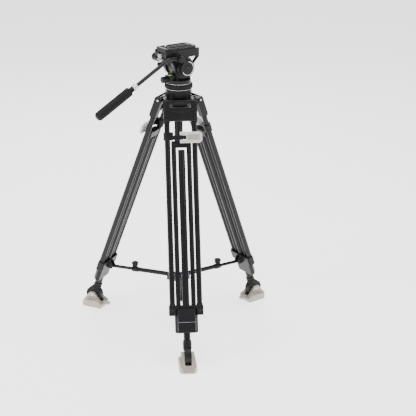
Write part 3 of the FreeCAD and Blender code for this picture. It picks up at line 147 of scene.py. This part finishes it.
LOOKS = {
    "cast_black": material(
        "cast_black_look", (0.006, 0.006, 0.007), (0.013, 0.013, 0.014), (0.30, 0.46),
        0.0, 1500, 0.22, wear=(0.09, 0.09, 0.09)),
    "tube_black": material(
        "tube_black_look", (0.005, 0.005, 0.006), (0.010, 0.010, 0.011), (0.22, 0.36),
        0.0, 700, 0.05, wear=(0.07, 0.07, 0.07), stretch=(1, 1, 0.15), coat=0.05),
    "lever_silver": material(
        "lever_silver_look", (0.70, 0.67, 0.61), (0.80, 0.77, 0.71), (0.34, 0.50),
        0.35, 1700, 0.18, wear=(0.88, 0.86, 0.82)),
    "foot_grey": material(
        "foot_grey_look", (0.33, 0.29, 0.24), (0.45, 0.41, 0.35), (0.36, 0.54),
        0.35, 1300, 0.18, wear=(0.78, 0.76, 0.71)),
    "plastic_black": material(
        "plastic_black_look", (0.006, 0.006, 0.006), (0.012, 0.012, 0.012), (0.42, 0.58),
        0, 2200, 0.25, wear=(0.05, 0.05, 0.05)),
    "rubber_black": material(
        "rubber_black_look", (0.004, 0.004, 0.004), (0.009, 0.009, 0.009), (0.60, 0.80), 0, 2600, 0.35),
    "steel": material(
        "steel_look", (0.58, 0.57, 0.55), (0.70, 0.69, 0.67), (0.20, 0.34),
        1.0, 1200, 0.06, wear=(0.85, 0.85, 0.84), stretch=(1, 1, 6)),
    "bubble_green": material(
        "bubble_green_look", (0.16, 0.42, 0.02), (0.26, 0.55, 0.05), (0.05, 0.12), 0, 500, 0.02, coat=1.0),
}
BRASS = material("brass_look", (0.62, 0.42, 0.13), (0.72, 0.52, 0.20), (0.25, 0.38), 1.0, 1200, 0.06)
# White for the plate's printed marks, and for the level's bubble, which also carries a painted highlight.
WHITE_MARK_AND_HIGHLIGHT = material("mark_and_highlight_white_look", (0.66, 0.66, 0.64), (0.76, 0.76, 0.74), (0.45, 0.60), 0, 1800, 0.12)
# A dark brown-grey painted on the foot pad's sides as the shade of an arched recess.
FOOT_RECESS_SHADE = material(
    "foot_panel_look", (0.13, 0.115, 0.095), (0.20, 0.18, 0.15), (0.45, 0.60), 0.3, 1300, 0.3)
RELEASE = material("release_look", (0.38, 0.36, 0.32), (0.48, 0.45, 0.41), (0.36, 0.50), 0.6, 1500, 0.15)
# Light grey lines painted on the lower casting's edges and fold as highlights where they catch the light.
EDGE_HIGHLIGHT = material("painted_edge_highlight_look", (0.16, 0.16, 0.16), (0.26, 0.26, 0.26), (0.30, 0.45), 0.3, 1500, 0.1)
PAD = material("lever_pad_look", (0.30, 0.28, 0.25), (0.46, 0.44, 0.40), (0.50, 0.66), 0.3, 900, 0.5)

# These two nodes aren't drawn with the look of their slot in the record.
OTHER_LOOKS = {"hip_bolts": LOOKS["plastic_black"], "plate_release": RELEASE}
for part in frame["record"]["subparts"]:
    node = part["node"]
    for held in frame["nodes"][node].material_slots:
        held.material = OTHER_LOOKS.get(node, LOOKS[part["material_slot"]])


# ---------------------------------------------------------------- shapes

def along(axis, origin, side=None):
    """A frame at origin whose z runs along axis."""
    z = axis.normalized()
    x = side or (X if abs(z.dot(X)) < 0.9 else Y)
    x = (x - z * x.dot(z)).normalized()
    y = z.cross(x)
    return Matrix.Translation(origin) @ Matrix((x, y, z)).transposed().to_4x4()


def piece(name, verts, faces, at, look, body, slot=None, smooth=True):
    """A mesh placed by the frame at, that rides on a body."""
    mesh = bpy.data.meshes.new(name)
    mesh.from_pydata([at @ Vector(v) for v in verts], [], faces)
    mesh.materials.append(look)
    mesh.validate()
    for f in mesh.polygons:
        f.use_smooth = smooth
    obj = bpy.data.objects.new(name, mesh)
    bpy.context.scene.collection.objects.link(obj)
    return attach(obj, body)


def fitting(name, shape, at, slot, body):
    """A piece that takes the look of the record's slot that it names."""
    return piece(name, *shape, at, LOOKS[slot], body, slot)


def turned(profile, start=0.0, sweep=360.0, steps=48):
    """A closed (radius, height) profile revolved about z, in mm."""
    whole = sweep >= 360
    rows = steps if whole else steps + 1
    verts, faces, k = [], [], len(profile)
    for i in range(rows):
        a = math.radians(start + sweep * i / steps)
        verts += [(r * MM * math.cos(a), r * MM * math.sin(a), h * MM) for r, h in profile]
    for i in range(steps):
        j = (i + 1) % rows
        for p in range(k):
            q = (p + 1) % k
            faces.append((i * k + p, j * k + p, j * k + q, i * k + q))
    if not whole:
        faces += [tuple(range(k))[::-1], tuple((rows - 1) * k + p for p in range(k))]
    return verts, faces


def band(inner, outer, low, high, soft=0.25):
    """The profile of a ring with its outer corners eased."""
    return [(inner, low), (outer - soft, low), (outer, low + soft),
            (outer, high - soft), (outer - soft, high), (inner, high)]


def bars(boxes):
    """Bars with chamfered tops as one mesh; each is (x0, x1, y0, y1, z0, z1) in mm."""
    verts, faces = [], []
    for x0, x1, y0, y1, z0, z1 in boxes:
        e = min(x1 - x0, y1 - y0) * 0.2
        b = len(verts)
        for h, s in ((z0, 0), (z1 - e * 0.6, 0), (z1, e)):
            verts += [(x * MM, y * MM, h * MM) for x, y in
                      ((x0 + s, y0 + s), (x1 - s, y0 + s), (x1 - s, y1 - s), (x0 + s, y1 - s))]
        faces.append((b + 3, b + 2, b + 1, b))
        for ring in (0, 4):
            for i in range(4):
                j = (i + 1) % 4
                faces.append((b + ring + i, b + ring + j, b + ring + 4 + j, b + ring + 4 + i))
        faces.append((b + 8, b + 9, b + 10, b + 11))
    return verts, faces


def screw_head(radius, tall):
    """A round head with an eased rim and a six-sided socket."""
    verts, faces, n = [], [], 24
    rings = [(radius, 0), (radius, tall * 0.7), (radius * 0.88, tall)]
    for r, h in rings:
        for i in range(n):
            a = 2 * math.pi * i / n
            verts.append((r * MM * math.cos(a), r * MM * math.sin(a), h * MM))
    for h in (tall, tall * 0.35):
        for i in range(n):
            a = 2 * math.pi * i / n
            off = (i % 4) / 4 * math.pi / 3 - math.pi / 6
            r = radius * 0.46 * math.cos(math.pi / 6) / math.cos(off)
            verts.append((r * MM * math.cos(a), r * MM * math.sin(a), h * MM))
    for row in range(4):
        for i in range(n):
            j = (i + 1) % n
            faces.append((row * n + i, row * n + j, row * n + n + j, row * n + n + i))
    faces += [tuple(4 * n + i for i in range(n)), tuple(range(n))[::-1]]
    return verts, faces


def reach(node, origin, axis):
    """A CAD node's largest radius about an axis and its ends along it, in mm."""
    far, heights = 0.0, []
    for v in frame["nodes"][node].data.vertices:
        d = v.co - origin
        h = d.dot(axis)
        far = max(far, (d - axis * h).length)
        heights.append(h)
    return far / MM, min(heights) / MM, max(heights) / MM


def outward(node, origin, axis):
    """The axis turned towards the node's further end, with the node's radius and ends along it."""
    far, low, high = reach(node, origin, axis)
    if abs(low) > abs(high):
        axis = -axis
        far, low, high = reach(node, origin, axis)
    return axis, far, low, high


def radius_between(node, origin, axis, low, high):
    """A CAD node's largest radius about an axis between two heights, in mm."""
    far = 0.0
    for v in frame["nodes"][node].data.vertices:
        d = v.co - origin
        h = d.dot(axis)
        if low * MM - NEAR <= h <= high * MM + NEAR:
            far = max(far, (d - axis * h).length)
    return far / MM


def knurl(name, origin, axis, radius, low, high, count, look, body, deep=0.45, wide=0.55):
    """Upright ridges of triangular section round a knob."""
    verts, faces = [], []
    pitch = 2 * math.pi / count
    for i in range(count):
        a, w, b = i * pitch, pitch * wide / 2, len(verts)
        for h, d in ((low, 0.0), (low + 0.5, deep), (high - 0.5, deep), (high, 0.0)):
            for off, lift in ((-w, -0.3), (0, d), (w, -0.3)):
                r = (radius + lift) * MM
                verts.append((r * math.cos(a + off), r * math.sin(a + off), h * MM))
        for row in range(3):
            for p in range(2):
                s = b + row * 3 + p
                faces.append((s, s + 1, s + 4, s + 3))
        faces += [(b + 2, b + 1, b), (b + 9, b + 10, b + 11)]
        for row in range(3):
            s = b + row * 3
            faces.append((s + 2, s, s + 3, s + 5))
    return piece(name, verts, faces, along(axis, origin), look, body, smooth=False)


def swept_tube(name, points, radius, slot, body):
    """A round bead along a line of points."""
    bead = bpy.data.curves.new(name, "CURVE")
    bead.dimensions = "3D"
    bead.bevel_depth = radius * MM
    bead.bevel_resolution = 3
    bead.use_fill_caps = True
    line = bead.splines.new("POLY")
    line.points.add(len(points) - 1)
    for p, co in zip(line.points, points):
        p.co = (*co, 1)
    bead.materials.append(LOOKS[slot])
    obj = bpy.data.objects.new(name, bead)
    bpy.context.scene.collection.objects.link(obj)
    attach(obj, body)


# ---------------------------------------------------------------- legs

# Places on a leg, in mm: across it, out from its tubes' axes, and down it from the hip pin.
OUTER_TUBES = (-37.5, 37.5)
TOP_RINGS, LOW_RINGS = (54.0, 57.2), (552.2, 556.2)
LEVER_FACE, LEVER_MIDDLE = 17.8, 97.0
PAD_FROM, PAD_TO = -48.8, -14.7
PAD_RIB, PAD_RIB_PITCH, PAD_RIBS = (-47.4, -46.0), 2.7, 12
BRACKET_FACE, BRACKET_MIDDLE = 7.9, 570.0
HOOD_FACE = 12.95
# Each rib of the hood: its name, centre, bearing in degrees, radius, half sweep in degrees and height.
HOOD_RIBS = (("swage", -62.0, 90.0, 90.0, 25.5, 1.0), ("brow", 119.5, -90.0, 118.0, 14.5, 0.8))
CASTING_FACE, CASTING_EDGES, CASTING_FOLD = 12, (-24.6, 24.6), 601.7
EDGE_TOP, EDGE_FOOT = 590.0, 624.0
BOOT_RIB_TOP, BOOT_RIB_FOOT, BOOT_RIB_PITCH, BOOT_RIBS = 658.0, 660.4, 4.6, 4
# The foot pad's height, half its width at the floor, and how much less that is at its top.
PIN_TO_FLOOR, FOOT_TALL, FOOT_HALF, FOOT_NARROWS = 38, 47, 23.5, 5.5
# The arch on its side, filled with painted recess shade and edged by a bead, from the ankle pin.
ARCH_HALF, ARCH_FOOT, ARCH_RISE = 26, -33, 27
ARCH_POINTS, ARCH_STEP = 25, 7.5


def dress_lever(leg, at):
    """A ribbed pad and a dark hinge block on the lock lever's face."""
    plate = (PAD_FROM, PAD_TO, -9.2, 9.2, -0.2, 0.35)
    steps = [PAD_RIB_PITCH * i for i in range(PAD_RIBS)]
    ribs = [(PAD_RIB[0] + step, PAD_RIB[1] + step, -8.2, 8.2, 0.3, 0.75) for step in steps]
    face = at(0, LEVER_FACE, LEVER_MIDDLE)
    piece(f"{leg}_lever_pad", *bars([plate] + ribs), face, PAD, f"{leg}_lever")
    block = bars([(-14.0, 2.6, -5.6, 5.6, -0.2, 0.9), (-50.4, -49.4, -9.8, 9.8, -0.2, 0.3)])
    fitting(f"{leg}_lever_block", block, face, "cast_black", f"{leg}_lever")


def dress_upper(leg, at, down):
    """Rings and bosses at the ends of the two upper tubes."""
    upper = f"{leg}_upper"
    for k, x in enumerate(OUTER_TUBES):
        tube = at(x, 0, 0, down)
        fitting(f"{leg}_tube_top_ring_{k}", turned(band(7.0, 8.6, *TOP_RINGS)), tube, "plastic_black", upper)
        fitting(f"{leg}_tube_low_ring_{k}", turned(band(7.0, 8.4, *LOW_RINGS)), tube, "plastic_black", upper)
        boss = [(5.6, 0.0), (5.2, 0.9), (4.2, 1.1), (3.6, 0.5), (0.01, 0.5), (0.01, 0.0)]
        on_bracket = at(x, BRACKET_FACE, BRACKET_MIDDLE)
        fitting(f"{leg}_bracket_boss_{k}", turned(boss), on_bracket, "cast_black", upper)


def dress_casting(leg, on_casting):
    """Painted highlights on the edges and along the fold line of the middle stage's lower casting."""
    middle = f"{leg}_middle"
    for k, x in enumerate(CASTING_EDGES):
        edge = bars([(x - 0.35, x + 0.35, EDGE_TOP, EDGE_FOOT, -0.3, 0.35)])
        piece(f"{leg}_casting_edge_{k}", *edge, on_casting, EDGE_HIGHLIGHT, middle)
    fold = bars([(-24.0, 24.0, CASTING_FOLD - 0.6, CASTING_FOLD + 0.6, -0.3, 0.45)])
    piece(f"{leg}_casting_fold_highlight", *fold, on_casting, EDGE_HIGHLIGHT, middle)


def dress_hood(leg, at):
    """Two arched ribs on the yoke's hood: one sags below the window and one rises above it."""
    for name, centre, towards, radius, half, high in HOOD_RIBS:
        rib = [(radius - 1.2, -0.2), (radius + 1.2, -0.2), (radius + 0.6, high), (radius - 0.6, high)]
        arc = turned(rib, towards - half, 2 * half, 40)
        fitting(f"{leg}_hood_{name}", arc, at(0, HOOD_FACE, centre), "cast_black", f"{leg}_upper")


def dress_boot(leg, tube):
    """Ribs round the boot below the lower casting."""
    for k in range(BOOT_RIBS):
        drop = BOOT_RIB_PITCH * k
        rib = band(11.0, 12.5, BOOT_RIB_TOP + drop, BOOT_RIB_FOOT + drop, 0.6)
        fitting(f"{leg}_boot_rib_{k}", turned(rib), tube, "rubber_black", f"{leg}_lower")


def dress_ankle(leg, ankle, across):
    """A washer and a bolt on each side of the foot pad."""
    near_pin = [v.co for v in frame["nodes"][f"{leg}_foot_pad"].data.vertices
                if abs(v.co.z - ankle.z) < NEAR_PIN]
    far_side = max((co - ankle).dot(across) for co in near_pin) / MM
    for k, way in enumerate((1, -1)):
        for name, shape, sunk in (("washer", turned(band(2.0, 6.2, 0.0, 1.0)), 1.6),
                                  ("bolt", screw_head(4.4, 2.6), 1.4)):
            face = along(across * way, ankle + across * way * (far_side - sunk) * MM)
            fitting(f"{leg}_ankle_{name}_{k}", shape, face, "steel", f"{leg}_foot")


def dress_foot(leg, ankle, across, toe):
    """An arched sheet painted dark as the shade of a recess, with a bead round it, on each side of the foot pad.
    """
    angles = [math.radians(-90 + ARCH_STEP * i) for i in range(ARCH_POINTS)]
    arch = [(ARCH_HALF * math.sin(a), ARCH_FOOT + ARCH_RISE * math.cos(a)) for a in angles]
    for k, way in enumerate((1, -1)):
        def on_side(y, z, lift):
            """A point on the pad's sloping side, or lifted off it."""
            half = FOOT_HALF - FOOT_NARROWS * (z + PIN_TO_FLOOR) / FOOT_TALL
            return (ankle + (across * way * (half + lift) + toe * y + Z * z) * MM)[:]

        n = ARCH_POINTS
        verts = [on_side(y, z, 0.35) for y, z in arch] + [on_side(y, z, -0.6) for y, z in arch]
        faces = [tuple(range(n))] + [(i, i + 1, i + n + 1, i + n) for i in range(n - 1)]
        here = Matrix.Identity(4)
        piece(f"{leg}_foot_recess_shade_{k}", verts, faces, here, FOOT_RECESS_SHADE, f"{leg}_foot", smooth=False)
        points = [on_side(y, z, 0.0) for y, z in arch]
        swept_tube(f"{leg}_foot_bead_{k}", points, 1.5, "foot_grey", f"{leg}_foot")


def dress_arm(leg):
    """A ring at the mouth of the outer arm, and a ridged cap on its lock knob."""
    pin, arm = joint_pos(f"{leg}_arm_pivot"), joint_axis(f"{leg}_arm_slide")
    _, one_end, other_end = reach(f"{leg}_spreader_tube", pin, arm)
    mouth = min(one_end, other_end, key=abs)
    inside = mouth + math.copysign(3.4, mouth)
    ring = turned(band(4.6, 7.4, min(mouth, inside), max(mouth, inside), 0.5))
    fitting(f"{leg}_arm_mouth", ring, along(arm, pin), "plastic_black", f"{leg}_arm_tube")
    knob, axis = joint_pos(f"{leg}_arm_knob_turn"), joint_axis(f"{leg}_arm_knob_turn")
    far, _, high = reach(f"{leg}_spreader_knob", knob, axis)
    cap = [(4.0, high - 6.4), (far + 0.6, high - 6.0), (far + 1.6, high - 4.6),
           (far + 1.6, high - 1.8), (far + 0.4, high + 0.1), (4.0, high + 0.5)]
    body = f"{leg}_arm_knob"
    fitting(f"{leg}_knob_cap", turned(cap), along(axis, knob), "plastic_black", body)
    knurl(f"{leg}_knob_ridges", knob, axis, far + 1.4, high - 5.0, high - 1.4, 22,
          LOOKS["plastic_black"], body, 0.5)


def dress_hip(leg, hip, side):
    """A bright screw with a dark ring round it on the end of each hip bolt."""
    bolts = [v.co - hip for v in frame["nodes"]["hip_bolts"].data.vertices]
    ends = [d.dot(side) / MM for d in bolts if (d - side * d.dot(side)).length < NEAR_PIN]
    for k, (way, end) in enumerate(((1, max(ends)), (-1, -min(ends)))):
        face = along(side * way, hip + side * way * (end - 0.3) * MM)
        fitting(f"{leg}_hip_screw_{k}", screw_head(3.1, 1.1), face, "steel", "centre")
        fitting(f"{leg}_hip_ring_{k}", turned(band(5.2, 6.6, -0.2, 0.7, 0.2)), face, "cast_black", "centre")


def dress_leg(leg):
    """Every fitting of one leg."""
    hip, side = joint_pos(f"{leg}_fold"), joint_axis(f"{leg}_fold")
    down = joint_axis(f"{leg}_middle_stage")
    out = (-down).cross(side).normalized()

    def at(x, outward_by, down_by, z=out):
        """A frame placed from the hip pin, in mm."""
        return along(z, hip + (side * x + out * outward_by + down * down_by) * MM, side)

    dress_lever(leg, at)
    dress_upper(leg, at, down)
    dress_casting(leg, at(0, CASTING_FACE, 0))
    dress_hood(leg, at)
    dress_boot(leg, at(0, 0, 0, down))
    ankle, across = joint_pos(f"{leg}_ankle_tilt"), joint_axis(f"{leg}_ankle_tilt")
    toe = Z.cross(across)
    toe *= math.copysign(1, toe.dot(Vector((ankle.x - hip.x, ankle.y - hip.y, 0))))
    dress_ankle(leg, ankle, across)
    dress_foot(leg, ankle, across, toe)
    dress_arm(leg)
    dress_hip(leg, hip, side)


for leg in LEGS:
    dress_leg(leg)

# ---------------------------------------------------------------- head

pan_at, tilt_at = joint_pos("pan"), joint_pos("tilt")
ball_at = Vector((pan_at.x, pan_at.y, joint_pos("level_side").z))
ball_frame = along(Z, ball_at)
# Heights above the ball's centre, in mm.
NECK_LOW, NECK_HIGH, NECK_TALL = 0.4, 28.35, 28.0
RIM, FLANGE_LINE, DRAG_RING = (29.8, 30.1), (43.5, 46.0), (32.0, 42.0)
GROOVES = (9.0, 14.0, 19.0, 24.0)
# From the tilt axis, in mm.
PLATE_LOCK_BOSS = (-19, -51, 25)


def tilted(x, y, up, z=Z, side=None):
    """A frame placed from the tilt axis, in mm."""
    return along(z, Vector((pan_at.x + x * MM, pan_at.y + y * MM, tilt_at.z + up * MM)), side)


def dress_neck():
    """Raised rings round the neck, bright lines above and below the drag ring, and its ridges."""
    foot, top = (radius_between("ball_base", ball_at, Z, h, h + 0.3) for h in (NECK_LOW, NECK_HIGH))
    for k, h in enumerate(GROOVES):
        r = foot + (top - foot) * h / NECK_TALL
        ring = turned(band(r - 0.6, r + 0.45, h, h + 1.1, 0.3), steps=96)
        fitting(f"neck_groove_{k}", ring, ball_frame, "plastic_black", "levelled_base")
    rim = radius_between("ball_base", ball_at, Z, *RIM)
    ring = turned(band(rim - 1.2, rim + 0.25, 28.6, 29.9, 0.3), steps=96)
    fitting("neck_bright_ring", ring, ball_frame, "steel", "levelled_base")
    flange = radius_between("tilt_housing", ball_at, Z, *FLANGE_LINE)
    ring = turned(band(flange - 1.2, flange + 0.25, 43.9, 45.7, 0.4), steps=96)
    fitting("housing_bright_ring", ring, ball_frame, "steel", "pan_body")
    drag = radius_between("drag_ring", ball_at, Z, *DRAG_RING)
    knurl("drag_ring_ridges", ball_at, Z, drag - 0.1, 31.6, 42.2, 84, LOOKS["plastic_black"], "drag", 0.4)


def dress_dial():
    """Ridges, an open silver arc, a cap with a ring, and a pointer on the counterbalance dial."""
    centre = joint_pos("counterbalance_turn")
    far, low, high = reach("counterbalance_dial", centre, X)
    knurl("dial_ridges", centre, X, far - 0.2, low + 0.8, high - 0.8, 48, LOOKS["plastic_black"], "dial", 0.4)
    face, from_rear = along(X, centre), along(X, centre, -Y)
    arc = [(17.5, high - 0.3), (19.4, high - 0.3), (19.2, high + 0.35), (17.7, high + 0.35)]
    fitting("dial_arc", turned(arc, 28, 235, 64), from_rear, "lever_silver", "dial")
    cap = turned(band(0.01, 9.6, high - 0.3, high + 0.9, 0.7))
    fitting("dial_cap", cap, face, "plastic_black", "dial")
    ring = turned(band(10.6, 11.4, high - 0.3, high + 0.4, 0.2))
    fitting("dial_cap_ring", ring, face, "cast_black", "dial")
    pointer = bars([(11.8, 16.6, -0.5, 0.5, high - 0.3, high + 0.4)])
    fitting("dial_pointer", pointer, from_rear, "cast_black", "dial")


def dress_plate_lock():
    """A rim and a brass dot on the inner face of the plate lock's boss."""
    boss = tilted(*PLATE_LOCK_BOSS, X)
    fitting("boss_rim", turned(band(6.2, 10.2, -0.2, 1.0, 0.4)), boss, "plastic_black", "tilt_frame")
    piece("boss_brass", *turned(band(0.01, 4.2, -0.2, 1.3, 0.5)), boss, BRASS, "tilt_frame")


def dress_plate():
    """Ribbed rubber pads on the camera plate's face, and a scale without numbers on its right edge."""
    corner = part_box("camera_plate")[1]
    edge, face = (corner.x - pan_at.x) / MM, (corner.z - tilt_at.z) / MM
    pads = []
    for x0, x1 in ((-22.5, -7.0), (7.0, 22.5)):
        pads.append((x0, x1, -50.0, 33.0, -0.2, 0.5))
        pads += [(x0 + 0.8, x1 - 0.8, -48.6 + 3.1 * i, -47.0 + 3.1 * i, 0.4, 1.0) for i in range(26)]
    fitting("plate_pads", bars(pads), tilted(0, 0, face), "rubber_black", "plate")
    marks = bars([(-0.25, 0.25, -45.0 + 5.0 * i, -44.6 + 5.0 * i, 0.0, 0.3) for i in range(17)])
    piece("plate_marks", *marks, tilted(edge, 0, face - 3.2, X, Z), WHITE_MARK_AND_HIGHLIGHT, "plate")


def dress_level():
    """A bezel, a ring mark, and a white disk on the bubble level that is the bubble and also a painted highlight
    on its glass.
    """
    low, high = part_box("bubble_level")
    radius = (high.x - low.x) / 2 / MM
    top = Vector(((low.x + high.x) / 2, (low.y + high.y) / 2, high.z))
    bezel = turned(band(radius - 0.9, radius + 0.5, -0.6, 0.7, 0.3))
    fitting("level_bezel", bezel, along(Z, top), "plastic_black", "pan_body")
    mark = turned(band(3.0, 3.5, -0.1, 0.12, 0.05))
    fitting("level_ring_mark", mark, along(Z, top), "plastic_black", "pan_body")
    # The off-centre white disk is partly the bubble and partly a painted glint on the glass.
    bubble = turned(band(0.01, 1.3, -0.1, 0.3, 0.2))
    piece("level_bubble_and_highlight", *bubble, along(Z, top + Vector((0.6, -0.4, 0)) * MM), WHITE_MARK_AND_HIGHLIGHT, "pan_body")


def dress_handle():
    """Ribs and an end ring on the grip, and ridges on the collar."""
    rod = joint_pos("collar_turn")
    axis, _, low, high = outward("handle_grip", rod, joint_axis("grip_extend"))
    r = radius_between("handle_grip", rod, axis, low + 8, high - 8)
    for k in range(14):
        h = low + 12.0 + (high - low - 34.0) * k / 13
        rib = turned(band(r - 0.8, r + 0.35, h, h + 3.2, 0.35))
        fitting(f"grip_rib_{k:02d}", rib, along(axis, rod), "rubber_black", "grip")
    ring = turned(band(r - 1.2, r + 0.4, high - 9.0, high - 7.0, 0.3))
    fitting("grip_end_ring", ring, along(axis, rod), "plastic_black", "grip")
    far, low, high = reach("handle_collar", rod, axis)
    knurl("collar_ridges", rod, axis, far - 0.15, low + 0.8, high - 0.8, 30,
          LOOKS["lever_silver"], "collar", 0.35)


def dress_knob(node, joint, body, count):
    """Ridges round the outer end of a knob."""
    centre = joint_pos(joint)
    axis, _, _, high = outward(node, centre, joint_axis(joint))
    wide = radius_between(node, centre, axis, high - 2.5, high)
    knurl(f"{node}_ridges", centre, axis, wide - 0.1, high - 7.0, high - 0.8, count,
          LOOKS["plastic_black"], body, 0.5)


dress_neck()
dress_dial()
dress_plate_lock()
dress_plate()
dress_level()
dress_handle()
dress_knob("pan_lock_knob", "pan_lock_turn", "pan_knob", 20)
dress_knob("plate_lock_knob", "plate_lock_turn", "plate_knob", 18)
dress_knob("handle_clamp_knob", "handle_clamp_turn", "handle_knob", 20)

# ---------------------------------------------------------------- floor, light, camera

FLOOR_HALF = 9
FLOOR_GLOW, SKY = 1.8, 0.45
LENS, SENSOR = 93.38, 36
VIEW_FROM = Vector((2.382, pan_at.y - 1.667, 1.4647))
VIEW_AZIMUTH, VIEW_ELEVATION, VIEW_PAN = 55.02, 20.7481, -1.5675
MIDDLE = Vector((0, pan_at.y, 0.42))
# Each lamp's name, place, size and power.
LAMPS = (
    ("key", (-0.2, -2.8, 1.9), 0.8, 34),
    ("side", (2.9, 1.1, 1.5), 0.7, 16),
    ("back", (-2.2, 1.2, 2.0), 1.0, 26),
    ("overhead", (0.2, -0.1, 3.4), 3.0, 150),
)
CORNERS = [(x * FLOOR_HALF, y * FLOOR_HALF, 0) for x, y in ((-1, -1), (1, -1), (1, 1), (-1, 1))]

floor_mesh = bpy.data.meshes.new("floor")
floor_mesh.from_pydata(CORNERS, [], [(0, 1, 2, 3)])
floor = bpy.data.objects.new("floor", floor_mesh)
floor.location.z = CAD_BOX[0].z - 0.2 * MM
bpy.context.scene.collection.objects.link(floor)
floor_look = material("floor_look", (0.93, 0.93, 0.93), (0.95, 0.95, 0.95), (0.6, 0.7), 0, 60, 0.01)
floor_inputs = floor_look.node_tree.nodes["Principled BSDF"].inputs
floor_inputs["Emission Color"].default_value = (1, 1, 1, 1)
floor_inputs["Emission Strength"].default_value = FLOOR_GLOW
floor_mesh.materials.append(floor_look)

world = bpy.data.worlds.new("studio")
world.use_nodes = True
world.node_tree.nodes["Background"].inputs["Color"].default_value = (1, 1, 1, 1)
world.node_tree.nodes["Background"].inputs["Strength"].default_value = SKY
bpy.context.scene.world = world

for name, place, size, watts in LAMPS:
    data = bpy.data.lights.new(name, "AREA")
    data.energy, data.size = watts, size
    lamp = bpy.data.objects.new(name, data)
    lamp.location = place
    lamp.rotation_euler = (MIDDLE - Vector(place)).to_track_quat("-Z", "Y").to_euler()
    bpy.context.scene.collection.objects.link(lamp)

view = bpy.data.cameras.new("photo_view")
view.lens, view.sensor_width = LENS, SENSOR
camera = bpy.data.objects.new("photo_view", view)
turn = (Matrix.Rotation(math.radians(VIEW_AZIMUTH), 4, "Z")
        @ Matrix.Rotation(math.radians(90 - VIEW_ELEVATION), 4, "X")
        @ Matrix.Rotation(math.radians(VIEW_PAN), 4, "Y"))
camera.matrix_world = Matrix.Translation(VIEW_FROM) @ turn
bpy.context.scene.collection.objects.link(camera)
bpy.context.scene.camera = camera
